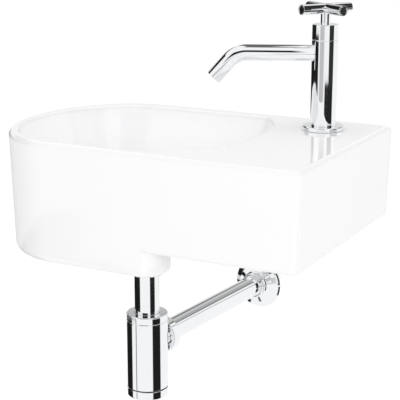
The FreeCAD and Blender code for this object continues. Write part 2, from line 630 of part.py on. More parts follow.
# Spout: a tube swept along a straight run, a bend and a straight end, in the upright plane of its swing
def spout_path(body):
    path = body.newObject("Sketcher::SketchObject", "spout_path")
    path.AttachmentSupport = (origin_plane(body, "XZ_Plane"), [""])
    path.MapMode = "FlatFace"
    angle = math.radians(size["spout_bend_angle"])
    radius = size["spout_bend_radius"]
    bend = FreeCAD.Vector(size["spout_straight"], 0, 0)
    centre = bend - FreeCAD.Vector(0, radius, 0)
    bent = centre + FreeCAD.Vector(math.sin(angle), math.cos(angle), 0) * radius
    tip = bent + FreeCAD.Vector(math.cos(angle), -math.sin(angle), 0) * size["spout_end"]
    circle = Part.Circle(centre, FreeCAD.Vector(0, 0, 1), radius)
    path.addGeometry([
        Part.LineSegment(FreeCAD.Vector(size["spout_seat"], 0, 0), bend),
        Part.ArcOfCircle(circle, math.pi / 2 - angle, math.pi / 2),
        Part.LineSegment(bent, tip),
    ])
    path.addConstraint([
        Sketcher.Constraint("Coincident", 0, 2, 1, 2),
        Sketcher.Constraint("Coincident", 1, 1, 2, 1),
        Sketcher.Constraint("PointOnObject", 0, 1, -1),
        Sketcher.Constraint("PointOnObject", 0, 2, -1),
    ])
    bend_fall = "spout_bend_radius * (1 - cos(spout_bend_angle * 1deg))"
    end_fall = "spout_end * sin(spout_bend_angle * 1deg)"
    bent_reach = "spout_straight + spout_bend_radius * sin(spout_bend_angle * 1deg)"
    driven = [
        ("DistanceX", 0, 1, size["spout_seat"], "spout_seat"),
        ("DistanceX", 0, 2, bend.x, "spout_straight"),
        ("DistanceX", 1, 3, centre.x, "spout_straight"),
        ("DistanceY", 1, 3, centre.y, "0 - spout_bend_radius"),
        ("DistanceX", 2, 1, bent.x, bent_reach),
        ("DistanceX", 2, 2, tip.x, bent_reach + " + spout_end * cos(spout_bend_angle * 1deg)"),
        ("DistanceY", 2, 2, tip.y, "0 - %s - %s" % (bend_fall, end_fall)),
    ]
    for kind, edge, end, start_value, formula in driven:
        index = path.addConstraint(Sketcher.Constraint(kind, -1, 1, edge, end, start_value))
        path.setExpression("Constraints[%d]" % index, bound(formula))
    return path


def tube_section(body, name, radius):
    section = body.newObject("Sketcher::SketchObject", name)
    section.AttachmentSupport = (origin_plane(body, "YZ_Plane"), [""])
    section.MapMode = "FlatFace"
    section.setExpression("AttachmentOffset.Base.z", bound("spout_seat"))
    section.addGeometry(Part.Circle(FreeCAD.Vector(), FreeCAD.Vector(0, 0, 1), size["spout_d"] / 2))
    section.addConstraint([
        Sketcher.Constraint("Coincident", 0, 3, -1, 1),
        Sketcher.Constraint("Radius", 0, size["spout_d"] / 2),
    ])
    section.setExpression("Constraints[1]", bound(radius))
    return section


spout = doc.addObject("PartDesign::Body", "spout")
route = spout_path(spout)
for kind, name, radius in (
    ("PartDesign::AdditivePipe", "spout_tube", "spout_d / 2"),
    ("PartDesign::SubtractivePipe", "spout_bore", "spout_d / 2 - spout_wall"),
):
    section = tube_section(spout, name + "_section", radius)
    pipe = spout.newObject(kind, name)
    pipe.Profile = section
    pipe.Spine = route
    spout.Tip = pipe
    doc.recompute()
spout_level = "fixing_drop + " + SPOUT_LEVEL
finished(place(spout, TAP_X, TAP_Y, spout_level, turn="180 + spout_swing"), "tap_spout")

nozzle_blank = rod("nozzle_blank", "spout_d / 2 - spout_wall - running_gap", "nozzle_length")
NOZZLE_HOLES = 6
nozzle_holes = [rod("nozzle_hole", "nozzle_hole_d / 2", "nozzle_length + 2 * overrun", z="0 - overrun")]
for index in range(NOZZLE_HOLES):
    angle = "%s * 360deg / %s" % (index, NOZZLE_HOLES)
    across = "nozzle_circle_d / 2 * cos(%s)" % angle
    along = "nozzle_circle_d / 2 * sin(%s)" % angle
    length = "nozzle_length + 2 * overrun"
    nozzle_holes.append(rod("nozzle_hole", "nozzle_hole_d / 2", length, across, along, "0 - overrun"))
nozzle = bored("nozzle", nozzle_blank, nozzle_holes)
bend_angle = "(spout_bend_angle * 1deg)"
nozzle_run = "(spout_end - nozzle_setback - nozzle_length)"
bend_reach = "(spout_straight + spout_bend_radius * sin(%s))" % bend_angle
nozzle_reach = "(%s + %s * cos(%s))" % (bend_reach, nozzle_run, bend_angle)
nozzle_fall = "(spout_bend_radius * (1 - cos(%s)) + %s * sin(%s))" % (bend_angle, nozzle_run, bend_angle)
place(nozzle, TAP_X + " - %s * cos(spout_swing * 1deg)" % nozzle_reach,
      TAP_Y + " - %s * sin(spout_swing * 1deg)" % nozzle_reach, spout_level + " - " + nozzle_fall)
swing = FreeCAD.Rotation(FreeCAD.Vector(0, 0, 1), 180 + size["spout_swing"])
lean = FreeCAD.Rotation(FreeCAD.Vector(0, 1, 0), 90 + size["spout_bend_angle"])
nozzle.Placement = FreeCAD.Placement(nozzle.Placement.Base, swing.multiply(lean))
finished(nozzle, "spout_nozzle")

# Headwork: quarter-turn valve with two ceramic discs under a spindle
seat_seal = ring("seat_seal", "seat_seal_bore_d / 2", "seat_seal_d / 2", VALVE_SEAT, SEAL_TOP)
finished(place(seat_seal, **tap), "tap_seat_seal")


def ceramic_disc(name, foot, direction):
    across, along = direction
    blank = rod(name + "_blank", "disc_d / 2", "disc_thickness", z=foot)
    ports = []
    for side in ("disc_port_circle_d / 2", "0 - disc_port_circle_d / 2"):
        x = "(%s) * %d" % (side, across)
        y = "(%s) * %d" % (side, along)
        length = "disc_thickness + 2 * overrun"
        ports.append(rod(name + "_port", "disc_port_d / 2", length, x, y, foot + " - overrun"))
    return bored(name, blank, ports)


fixed_disc = ceramic_disc("fixed_disc", SEAL_TOP, (1, 0))
finished(place(fixed_disc, **tap), "fixed_ceramic_disc")
moving_disc = ceramic_disc("moving_disc", MOVING_FOOT, (0, 1))
finished(place(moving_disc, **tap), "moving_ceramic_disc")

headwork_blank = turned("headwork_blank", [
    ("disc_d / 2 + slip_gap", SEAL_TOP),
    ("headwork_d / 2", SEAL_TOP),
    ("headwork_d / 2", "column_top"),
    (HEADWORK_EDGE, "column_top"),
    (HEADWORK_EDGE, "column_top + headwork_flange_height"),
    ("headwork_neck_d / 2", "column_top + headwork_flange_height"),
    ("headwork_neck_d / 2", HEADWORK_TOP),
    ("gland_d / 2", HEADWORK_TOP),
    ("gland_d / 2", HEADWORK_TOP + " - gland_height"),
    ("spindle_d / 2 + running_gap", HEADWORK_TOP + " - gland_height"),
    ("spindle_d / 2 + running_gap", DRIVE_TOP + " + running_gap"),
    ("disc_d / 2 + slip_gap", DRIVE_TOP + " + running_gap"),
])
window = rod("headwork_window", "window_d / 2", "column_d", "0 - column_d / 2",
             z=DRIVE_FOOT + " + drive_head_height / 2", direction=ALONG_X)
headwork = bored("headwork", headwork_blank, [window])
finished(place(headwork, turn="180 + spout_swing", **tap), "tap_headwork")

gland = ring("gland", "spindle_d / 2 + running_gap", "gland_d / 2 - running_gap",
             HEADWORK_TOP + " - gland_height", HEADWORK_TOP)
finished(place(gland, **tap), "tap_gland_ring")

bonnet = turned("bonnet", [
    ("column_d / 2 - bonnet_wall", "column_top"),
    ("column_d / 2", "column_top"),
    ("column_d / 2", TAP_TOP + " - edge_bevel"),
    ("column_d / 2 - edge_bevel", TAP_TOP),
    ("neck_d / 2 + slip_gap", TAP_TOP),
    ("neck_d / 2 + slip_gap", TAP_TOP + " - bonnet_roof"),
    ("column_d / 2 - bonnet_wall", TAP_TOP + " - bonnet_roof"),
])
finished(place(bonnet, **tap), "tap_bonnet")

# Cross handle with its spindle and grub screw, turned as one
grub_start = "(neck_d / 2 - grub_length)"
spindle_blank = turned("spindle_blank", [
    ("0", DRIVE_FOOT),
    ("disc_d / 2", DRIVE_FOOT),
    ("disc_d / 2", DRIVE_TOP),
    ("spindle_d / 2", DRIVE_TOP),
    ("spindle_d / 2", SPINDLE_TOP),
    ("0", SPINDLE_TOP),
])
dimple = rod("spindle_dimple", "grub_d / 2 + slip_gap", "neck_d", grub_start, z=GRUB_LEVEL,
             direction=ALONG_X)
spindle = bored("spindle", spindle_blank, [dimple])
finished(place(spindle, turn="bar_turn", **tap), "tap_spindle")


def handle_bar(name, direction):
    bar = turned(name, [
        ("0", "0"),
        ("bar_d / 2 - edge_bevel", "0"),
        ("bar_d / 2", "edge_bevel"),
        ("bar_d / 2", "bar_length - edge_bevel"),
        ("bar_d / 2 - edge_bevel", "bar_length"),
        ("0", "bar_length"),
    ])
    middle = "0 - bar_length / 2"
    if direction == ALONG_X:
        return place(bar, x=middle, z=BAR_LEVEL, direction=direction)
    return place(bar, y=middle, z=BAR_LEVEL, direction=direction)


neck_foot = "(%s - neck_sink)" % TAP_TOP
neck = rod("handle_neck", "neck_d / 2", "neck_sink + bar_rise", z=neck_foot)
cross = joined("handle_cross", [neck, handle_bar("bar_one", ALONG_X), handle_bar("bar_two", TO_WALL)])
spindle_bore_length = "%s - %s + overrun" % (SPINDLE_TOP, neck_foot)
spindle_bore = rod("spindle_bore", "spindle_d / 2 + running_gap", spindle_bore_length,
                   z=neck_foot + " - overrun")
grub_hole = rod("grub_hole", "grub_d / 2 + slip_gap", "neck_d", z=GRUB_LEVEL, direction=ALONG_X)
handle = bored("handle", cross, [spindle_bore, grub_hole])
finished(place(handle, turn="bar_turn", **tap), "cross_handle")

grub_rod = rod("grub_rod", "grub_d / 2", "grub_length", grub_start, z=GRUB_LEVEL, direction=ALONG_X)
key_socket = doc.addObject("Part::Prism", "key_socket")
key_socket.Polygon = 6
key_socket.setExpression("Circumradius", bound("grub_key_flats / 2 / cos(30deg)"))
key_socket.setExpression("Height", bound("grub_key_depth + overrun"))
place(key_socket, grub_start + " + grub_length - grub_key_depth", z=GRUB_LEVEL, direction=ALONG_X)
grub = bored("grub", grub_rod, [key_socket])
finished(place(grub, turn="bar_turn", **tap), "handle_grub_screw")

# Waste: flanged tube through the bowl's floor, always open under a raised cap
waste = {"x": DRAIN_X, "y": DRAIN_Y, "z": WASTE_FOOT}
waste_tube = turned("waste_tube", [
    ("waste_bore_d / 2", "0"),
    ("waste_thread_d / 2", "0"),
    ("waste_thread_d / 2", FLANGE_FOOT),
    ("waste_flange_d / 2", FLANGE_FOOT),
    ("waste_flange_d / 2", FLANGE_TOP + " - edge_bevel"),
    ("waste_flange_d / 2 - edge_bevel", FLANGE_TOP),
    ("waste_bore_d / 2 + edge_bevel", FLANGE_TOP),
    ("waste_bore_d / 2", FLANGE_TOP + " - edge_bevel"),
])
bridge = doc.addObject("Part::Box", "waste_bridge")
bridge_length = "((waste_bore_d + waste_thread_d) / 2)"
bridge_foot = "(%s - bridge_height)" % BRIDGE_TOP
bridge.setExpression("Length", bound(bridge_length))
bridge.setExpression("Width", bound("bridge_width"))
bridge.setExpression("Height", bound("bridge_height"))
place(bridge, "0 - %s / 2" % bridge_length, "0 - bridge_width / 2", bridge_foot)
bridge_boss = rod("bridge_boss", "bridge_boss_d / 2", "bridge_height", z=bridge_foot)
cap_hole = rod("cap_hole", "cap_thread_d / 2 + slip_gap", "bridge_height + 2 * overrun",
               z=bridge_foot + " - overrun")
waste_body = bored("waste_body", joined("waste_blank", [waste_tube, bridge, bridge_boss]), [cap_hole])
finished(place(waste_body, **waste), "waste_body")

CAP_EDGE_SHARE = 0.4
CAP_CROWN_SHARE = 0.62
waste_cap = turned("waste_cap", [
    ("0", bridge_foot),
    ("cap_thread_d / 2", bridge_foot),
    ("cap_thread_d / 2", BRIDGE_TOP),
    ("cap_stem_d / 2", BRIDGE_TOP),
    ("cap_stem_d / 2", CAP_FOOT),
    ("cap_d / 2 - edge_bevel", CAP_FOOT),
    ("cap_d / 2", CAP_FOOT + " + cap_height * %s" % CAP_EDGE_SHARE),
    ("cap_d / 2 * %s" % CAP_CROWN_SHARE, CAP_FOOT + " + cap_height"),
    ("0", CAP_FOOT + " + cap_height"),
])
finished(place(waste_cap, **waste), "waste_cap")

waste_hole = "waste_thread_d / 2 + slip_gap"
upper_seal = ring("upper_seal", waste_hole, "waste_seal_d / 2", "0", "waste_seal_thickness")
finished(place(upper_seal, DRAIN_X, DRAIN_Y, DISH_FLOOR), "waste_upper_seal")

lower_seal = ring("lower_seal", waste_hole, "lower_seal_d / 2", "0", "lower_seal_thickness")
lower_foot = BOSS_FOOT + " - lower_seal_thickness"
finished(place(lower_seal, DRAIN_X, DRAIN_Y, lower_foot), "waste_lower_seal")

waste_nut = hex_nut("waste_nut", "waste_nut_flats", "waste_nut_height", waste_hole)
finished(place(waste_nut, DRAIN_X, DRAIN_Y, lower_foot + " - waste_nut_height"), "waste_backnut")

# Union between the waste and the trap's inlet tube
union = {"x": DRAIN_X, "y": DRAIN_Y, "z": UNION_FOOT}
union_nut = turned("union_nut", [
    ("inlet_tube_d / 2 + slip_gap", "0"),
    (UNION_EDGE + " - edge_bevel", "0"),
    (UNION_EDGE, "edge_bevel"),
    (UNION_EDGE, "union_nut_height"),
    ("waste_thread_d / 2 + slip_gap", "union_nut_height"),
    ("waste_thread_d / 2 + slip_gap", "union_lip"),
    ("inlet_tube_d / 2 + slip_gap", "union_lip"),
])
finished(place(union_nut, **union), "trap_union_nut")

collar_top = "(union_lip + inlet_collar_height)"
union_seal = ring("union_seal", "inlet_tube_d / 2", COLLAR_EDGE,
                  collar_top, collar_top + " + union_seal_thickness")
finished(place(union_seal, **union), "trap_union_seal")

# Bottle trap: the inlet tube dips into the body, which drains through its side to the wall
trap = {"x": DRAIN_X, "y": DRAIN_Y, "z": TRAP_FOOT}
inlet_bore = "inlet_tube_d / 2 - inlet_tube_wall"
inlet_tube = turned("inlet_tube", [
    (inlet_bore, DIP_END),
    ("inlet_tube_d / 2", DIP_END),
    ("inlet_tube_d / 2", TUBE_TOP + " - inlet_collar_height"),
    (COLLAR_EDGE, TUBE_TOP + " - inlet_collar_height"),
    (COLLAR_EDGE, TUBE_TOP),
    (inlet_bore, TUBE_TOP),
])
finished(place(inlet_tube, **trap), "trap_inlet_tube")

spigot_r = "trap_d / 2 - trap_wall - slip_gap"
spigot_foot = "(%s - trap_cap_spigot)" % BODY_TOP
pocket_r = "inlet_tube_d / 2 + top_seal_width + running_gap"
trap_cap = turned("trap_cap", [
    ("inlet_tube_d / 2 + slip_gap", TRAP_TOP),
    ("trap_d / 2 - edge_bevel", TRAP_TOP),
    ("trap_d / 2", TRAP_TOP + " - edge_bevel"),
    ("trap_d / 2", BODY_TOP),
    (spigot_r, BODY_TOP),
    (spigot_r, spigot_foot),
    (pocket_r, spigot_foot),
    (pocket_r, spigot_foot + " + top_seal_height"),
    ("inlet_tube_d / 2 + slip_gap", spigot_foot + " + top_seal_height"),
])
finished(place(trap_cap, **trap), "trap_top_cap")

top_seal = ring("top_seal", "inlet_tube_d / 2 + running_gap", "inlet_tube_d / 2 + top_seal_width",
                spigot_foot, spigot_foot + " + top_seal_height")
finished(place(top_seal, **trap), "trap_top_seal")

trap_wall = rod("trap_wall", "trap_d / 2", "trap_body_height", z=BODY_FOOT)
outlet_boss = rod("outlet_boss", "outlet_spigot_d / 2", SPIGOT_END, z=OUTLET_AXIS,
                  direction=TO_WALL)
trap_bore = rod("trap_bore", "trap_d / 2 - trap_wall", "trap_body_height + 2 * overrun",
                z=BODY_FOOT + " - overrun")
outlet_bore = rod("outlet_bore", "outlet_bore_d / 2", SPIGOT_END + " + overrun",
                  z=OUTLET_AXIS, direction=TO_WALL)
pipe_socket = rod("pipe_socket", "outlet_pipe_d / 2 + slip_gap", "pipe_socket + overrun",
                  y=SPIGOT_END + " - pipe_socket", z=OUTLET_AXIS, direction=TO_WALL)
trap_blank = joined("trap_blank", [trap_wall, outlet_boss])
trap_body = bored("trap_body", trap_blank, [trap_bore, outlet_bore, pipe_socket])
finished(place(trap_body, turn="360 - outlet_turn", **trap), "trap_body")

base_seal = ring("base_seal", spigot_r + " + slip_gap", "trap_d / 2 - edge_bevel",
                 "base_cup_height", BODY_FOOT)
finished(place(base_seal, **trap), "trap_base_seal")

base_cup = turned("base_cup", [
    ("0", "0"),
    ("trap_d / 2 - edge_bevel", "0"),
    ("trap_d / 2", "edge_bevel"),
    ("trap_d / 2", "base_cup_height"),
    (spigot_r, "base_cup_height"),
    (spigot_r, BODY_FOOT + " + base_spigot"),
    (spigot_r + " - cup_wall", BODY_FOOT + " + base_spigot"),
    (spigot_r + " - cup_wall", "cup_floor"),
    ("0", "cup_floor"),
])
finished(place(base_cup, **trap), "trap_base_cup")

# Outlet: nut, seal and uncut pipe on the way to the wall, measured from the trap's axis
outlet_swing = FreeCAD.Rotation(FreeCAD.Vector(0, 0, 1), -size["outlet_turn"])
outlet = {"x": DRAIN_X, "y": DRAIN_Y, "z": OUTLET_LEVEL, "direction": outlet_swing.multiply(TO_WALL)}
seal_end = "(%s + outlet_seal_thickness)" % SPIGOT_END
nut_end = "(%s + outlet_lip)" % seal_end
outlet_nut = turned("outlet_nut", [
    ("outlet_spigot_d / 2 + slip_gap", NUT_START),
    ("outlet_nut_d / 2", NUT_START),
    ("outlet_nut_d / 2", nut_end + " - edge_bevel"),
    ("outlet_nut_d / 2 - edge_bevel", nut_end),
    ("outlet_pipe_d / 2 + slip_gap", nut_end),
    ("outlet_pipe_d / 2 + slip_gap", seal_end),
    ("outlet_spigot_d / 2 + slip_gap", seal_end),
])
finished(place(outlet_nut, **outlet), "trap_outlet_nut")

outlet_seal = ring("outlet_seal", "outlet_pipe_d / 2 + running_gap", "outlet_spigot_d / 2",
                   SPIGOT_END, seal_end)
finished(place(outlet_seal, **outlet), "trap_outlet_seal")

pipe_bore = "outlet_pipe_d / 2 - outlet_pipe_wall"
outlet_pipe = turned("outlet_pipe", [
    (pipe_bore, SPIGOT_END + " - pipe_socket"),
    ("outlet_pipe_d / 2", SPIGOT_END + " - pipe_socket"),
    ("outlet_pipe_d / 2", "rosette_reach"),
    ("pipe_end_d / 2", "rosette_reach"),
    ("pipe_end_d / 2", "rosette_reach + wall_insert"),
    (pipe_bore, "rosette_reach + wall_insert"),
])
finished(place(outlet_pipe, **outlet), "trap_outlet_pipe")

rosette = turned("rosette", [
    ("rosette_d / 2", "0"),
    ("rosette_d / 2", "rosette_edge"),
    ("rosette_hub_d / 2", "rosette_dish"),
    ("rosette_hub_d / 2", "rosette_hub_length - edge_bevel"),
    ("rosette_hub_d / 2 - edge_bevel", "rosette_hub_length"),
    ("outlet_pipe_d / 2 + running_gap", "rosette_hub_length"),
    ("outlet_pipe_d / 2 + running_gap", "rosette_dish - rosette_wall"),
    ("rosette_d / 2 - rosette_wall", "0"),
])
rosette_x = DRAIN_X + " + rosette_reach * sin(outlet_turn * 1deg)"
rosette_y = DRAIN_Y + " + rosette_reach * cos(outlet_turn * 1deg)"
place(rosette, rosette_x, rosette_y, OUTLET_LEVEL, outlet_swing.multiply(TO_ROOM))
finished(rosette, "wall_rosette")

doc.recompute()
faults = [item.Name for item in doc.Objects if "Invalid" in item.State or "Error" in item.State]
faults += [piece.Label for piece in pieces if piece.Shape.isNull() or not piece.Shape.isValid()]
if faults:
    raise RuntimeError("pieces that failed: " + ", ".join(faults))

os.makedirs("parts", exist_ok=True)
for piece in pieces:
    piece.Shape.exportStep("parts/%s.step" % piece.Label)
    print("%-22s solids %d  volume %.0f" % (piece.Label, len(piece.Shape.Solids), piece.Shape.Volume))
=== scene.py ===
import json
import math
import bmesh
import bpy
from mathutils import Matrix, Vector


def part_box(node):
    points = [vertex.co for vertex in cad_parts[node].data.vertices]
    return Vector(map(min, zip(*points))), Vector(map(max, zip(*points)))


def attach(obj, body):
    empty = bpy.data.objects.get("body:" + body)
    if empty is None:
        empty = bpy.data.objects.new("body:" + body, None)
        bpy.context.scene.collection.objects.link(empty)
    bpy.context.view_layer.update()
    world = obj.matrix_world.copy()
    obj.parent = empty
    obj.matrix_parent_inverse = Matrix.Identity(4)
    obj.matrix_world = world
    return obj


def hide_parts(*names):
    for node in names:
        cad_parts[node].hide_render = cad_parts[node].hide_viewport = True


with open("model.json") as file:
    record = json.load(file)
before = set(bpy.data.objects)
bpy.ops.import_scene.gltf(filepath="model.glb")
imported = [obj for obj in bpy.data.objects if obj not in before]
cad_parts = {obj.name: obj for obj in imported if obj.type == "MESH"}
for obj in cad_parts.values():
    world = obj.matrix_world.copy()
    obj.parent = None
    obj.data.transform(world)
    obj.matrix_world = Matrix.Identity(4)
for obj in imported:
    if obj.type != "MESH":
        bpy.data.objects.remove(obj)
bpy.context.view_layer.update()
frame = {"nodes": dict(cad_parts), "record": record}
cadNodes = frame["nodes"]
mm = 0.001
print("frame loaded:", len(cadNodes), "solids")

# axes that the turned pieces share, read from the solids
flangeLow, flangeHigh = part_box("tap_flange")
cupLow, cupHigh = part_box("trap_base_cup")
pipeLow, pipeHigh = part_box("trap_outlet_pipe")
basinLow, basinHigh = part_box("basin")
slides = [joint for joint in frame["record"]["behaviour"]["joints"] if joint["name"] == "rosette_slide"]
tapAxis = (flangeLow + flangeHigh) / 2
drainAxis = (cupLow + cupHigh) / 2
outletLevel = (pipeLow.z + pipeHigh.z) / 2
outletWay = -Vector(slides[0]["axis"])  # from the trap to the wall
rimLevel = basinHigh.z


# shader building blocks: an input takes a plain value or another node's output

def addNode(tree, kind, x=0, y=0):
    node = tree.nodes.new(kind)
    node.location = (x, y)
    return node


def setInputs(tree, node, values):
    for label, value in values.items():
        if isinstance(value, bpy.types.NodeSocket):
            tree.links.new(value, node.inputs[label])
        else:
            node.inputs[label].default_value = value
    return node


def addNoise(tree, x, y, **values):
    return setInputs(tree, addNode(tree, "ShaderNodeTexNoise", x, y), values).outputs["Fac"]


def addMath(tree, operation, first, second=0.0, x=0, y=0):
    node = addNode(tree, "ShaderNodeMath", x, y)
    node.operation = operation
    return setInputs(tree, node, {0: first, 1: second}).outputs["Value"]


def addMix(tree, factor, base, top, kind="FLOAT", x=0, y=0):
    node = addNode(tree, "ShaderNodeMix", x, y)
    node.data_type = kind
    return setInputs(tree, node, {"Factor": factor, "A": base, "B": top}).outputs["Result"]


def addRange(tree, value, start, end, x=0, y=0, kind="LINEAR"):  # from 0 at start to 1 at end
    node = addNode(tree, "ShaderNodeMapRange", x, y)
    node.interpolation_type = kind
    return setInputs(tree, node, {"Value": value, "From Min": start, "From Max": end}).outputs["Result"]


def newGroup(name, inputs, outputs):
    group = bpy.data.node_groups.new(name, "ShaderNodeTree")
    for label, kind, value in inputs:
        socket = group.interface.new_socket(label, in_out="INPUT", socket_type=kind)
        if value is not None:
            socket.default_value = value
    for label, kind in outputs:
        group.interface.new_socket(label, in_out="OUTPUT", socket_type=kind)
    return group, addNode(group, "NodeGroupInput", -800), addNode(group, "NodeGroupOutput", 600)


def wipeMarksGroup():  # soft cloudy patches left by wiping, as a value between Low and High
    group, given, result = newGroup(
        "wipeMarks",
        [("Point", "NodeSocketVector", None), ("Size", "NodeSocketFloat", 30.0),
         ("Low", "NodeSocketFloat", 0.03), ("High", "NodeSocketFloat", 0.08)],
        [("Value", "NodeSocketFloat")])
    cloud = addNoise(group, -400, 0, Vector=given.outputs["Point"], Scale=given.outputs["Size"],
                     Detail=5.0, Roughness=0.6, Distortion=0.6)
    spread = setInputs(group, addNode(group, "ShaderNodeMapRange"), {
        "Value": cloud, "From Min": 0.35, "From Max": 0.68,
        "To Min": given.outputs["Low"], "To Max": given.outputs["High"]})
    setInputs(group, result, {"Value": spread.outputs["Result"]})
    return group


def turningLinesGroup():  # fine rings left by a lathe around the local Z axis
    group, given, result = newGroup(
        "turningLines",
        [("Point", "NodeSocketVector", None), ("Density", "NodeSocketFloat", 900.0),
         ("Dark", "NodeSocketColor", (0.5, 0.4, 0.2, 1)), ("Light", "NodeSocketColor", (0.8, 0.65, 0.35, 1))],
        [("Color", "NodeSocketColor"), ("Height", "NodeSocketFloat")])
    rings = addNode(group, "ShaderNodeTexWave", -400, 100)
    rings.wave_type = "RINGS"
    rings.rings_direction = "Z"
    setInputs(group, rings, {"Vector": given.outputs["Point"], "Scale": given.outputs["Density"],
                             "Distortion": 1.2, "Detail": 2.0})
    stain = addNoise(group, -400, -200, Vector=given.outputs["Point"], Scale=60.0, Detail=6.0)
    stained = addMath(group, "MULTIPLY", rings.outputs["Fac"], stain, -100, 0)
    colour = addMix(group, stained, given.outputs["Dark"], given.outputs["Light"], "RGBA", 200, 100)
    setInputs(group, result, {"Color": colour, "Height": rings.outputs["Fac"]})
    return group


def fineGrainGroup():  # pores and dust of rubber, bisque and sintered ceramic
    group, given, result = newGroup(
        "fineGrain",
        [("Point", "NodeSocketVector", None), ("Density", "NodeSocketFloat", 900.0),
         ("Dark", "NodeSocketColor", (0.02, 0.02, 0.02, 1)), ("Light", "NodeSocketColor", (0.06, 0.06, 0.06, 1))],
        [("Color", "NodeSocketColor"), ("Height", "NodeSocketFloat")])
    grain = addNoise(group, -400, 100, Vector=given.outputs["Point"], Scale=given.outputs["Density"],
                     Detail=8.0, Roughness=0.7)
    colour = addMix(group, grain, given.outputs["Dark"], given.outputs["Light"], "RGBA", 200, 100)
    setInputs(group, result, {"Color": colour, "Height": grain})
    return group


wipeMarks = wipeMarksGroup()
turningLines = turningLinesGroup()
fineGrain = fineGrainGroup()


def placeGroup(tree, group, point, x, y, **values):
    node = addNode(tree, "ShaderNodeGroup", x, y)
    node.node_tree = group
    return setInputs(tree, node, {"Point": point, **values})


def startMaterial(name):
    material = bpy.data.materials.new(name)
    material.use_nodes = True
    tree = material.node_tree
    shader = tree.nodes["Principled BSDF"]
    point = addNode(tree, "ShaderNodeTexCoord", -1200).outputs["Object"]
    return material, tree, shader, point


def addBump(tree, shader, height, strength, distance):
    bump = addNode(tree, "ShaderNodeBump", -250, -350)
    setInputs(tree, bump, {"Strength": strength, "Distance": distance, "Height": height})
    setInputs(tree, shader, {"Normal": bump.outputs["Normal"]})


def centred(tree, point, axis):  # pattern centred on a piece's own axis
    mapping = addNode(tree, "ShaderNodeMapping", -1000)
    setInputs(tree, mapping, {"Location": (-axis.x, -axis.y, 0), "Vector": point})
    return mapping.outputs["Vector"]


# glaze: tones including a painted shade for the rounded rim, levels below the rim where that painted shade lies,
# distances from the wall and the foot, then gloss and relief
glaze = {"pale": (0.935, 0.936, 0.944, 1), "bright": (0.95, 0.95, 0.955, 1), "rimShade": (0.87, 0.87, 0.875, 1),
         "bisque": (0.80, 0.78, 0.74, 1), "bisqueDark": (0.72, 0.69, 0.64, 1), "bisqueGrain": 700.0,
         "rimShadeLow": 0.0065, "rimShadeFull": 0.003, "rimShadeHigh": 0.0012,
         "wallGlazed": 0.0016, "wallBare": 0.0006, "footGlazed": 0.0014, "footBare": 0.0006,
         "smooth": 0.035, "hazed": 0.06, "hazeSize": 22.0, "raw": 0.8, "peel": 0.03, "peelDepth": 0.0004}


def glazedCeramic():
    material, tree, shader, point = startMaterial("glazedCeramic")
    tone = addNoise(tree, -800, 300, Vector=point, Scale=7.0, Detail=3.0)  # thickness of the glaze
    body = addMix(tree, tone, glaze["pale"], glaze["bright"], "RGBA", -550, 300)
    place = setInputs(tree, addNode(tree, "ShaderNodeSeparateXYZ", -1000, -200), {"Vector": point})
    depth, height = place.outputs["Y"], place.outputs["Z"]
    # painted shade: a darker band of glaze colour over the rounded rim, which tones down the highlight that the
    # rounding catches
    rimRise = addRange(tree, height, rimLevel - glaze["rimShadeLow"], rimLevel - glaze["rimShadeFull"], -800, 700)
    rimFall = addRange(tree, height, rimLevel, rimLevel - glaze["rimShadeHigh"], -800, 1000)
    rimBand = addMath(tree, "MINIMUM", rimRise, rimFall, -550, 800)
    rimShaded = addMix(tree, rimBand, body, glaze["rimShade"], "RGBA", -400, 500)
    # it is wiped bare where it meets the wall, and on the kiln foot
    foot = basinLow.z
    wallSide = addRange(tree, depth, -glaze["wallGlazed"], -glaze["wallBare"], -800, -150)
    footSide = addRange(tree, height, foot + glaze["footGlazed"], foot + glaze["footBare"], -800, -400)
    bare = addMath(tree, "MAXIMUM", wallSide, footSide, -550, -250)
    grain = placeGroup(tree, fineGrain, point, -550, 0, Density=glaze["bisqueGrain"],
                       Dark=glaze["bisqueDark"], Light=glaze["bisque"])
    haze = placeGroup(tree, wipeMarks, point, -550, -500, Size=glaze["hazeSize"],
                      Low=glaze["smooth"], High=glaze["hazed"])
    setInputs(tree, shader, {
        "Base Color": addMix(tree, bare, rimShaded, grain.outputs["Color"], "RGBA", -250, 200),
        "Roughness": addMix(tree, bare, haze.outputs["Value"], glaze["raw"], "FLOAT", -250, -100)})
    peel = addNoise(tree, -550, -800, Vector=point, Scale=110.0, Detail=2.0)  # orange peel of the fired glaze
    addBump(tree, shader, peel, glaze["peel"], glaze["peelDepth"])
    return material


chrome = {"cool": (0.86, 0.875, 0.895, 1), "bright": (0.93, 0.935, 0.94, 1), "polish": 0.02, "smudge": 0.05,
          "smudgeSize": 45.0, "ripple": 0.02, "rippleDepth": 0.0003}


def polishedChrome():
    material, tree, shader, point = startMaterial("polishedChrome")
    film = addNoise(tree, -800, 300, Vector=point, Scale=14.0, Detail=3.0)
    smudge = placeGroup(tree, wipeMarks, point, -550, 0, Size=chrome["smudgeSize"],
                        Low=chrome["polish"], High=chrome["smudge"])
    setInputs(tree, shader, {
        "Base Color": addMix(tree, film, chrome["cool"], chrome["bright"], "RGBA", -400, 300),
        "Metallic": 1.0, "Roughness": smudge.outputs["Value"]})
    ripple = addNoise(tree, -550, -400, Vector=point, Scale=60.0)  # slow waviness of the buffed plating
    addBump(tree, shader, ripple, chrome["ripple"], chrome["rippleDepth"])
    return material


brass = {"dark": (0.42, 0.30, 0.12, 1), "light": (0.80, 0.62, 0.30, 1), "polish": 0.22, "dull": 0.42}
steel = {"dark": (0.38, 0.39, 0.40, 1), "light": (0.66, 0.67, 0.68, 1), "polish": 0.25, "dull": 0.45}
turning = {"density": 700.0, "wipeSize": 80.0, "relief": 0.12, "depth": 0.0001}


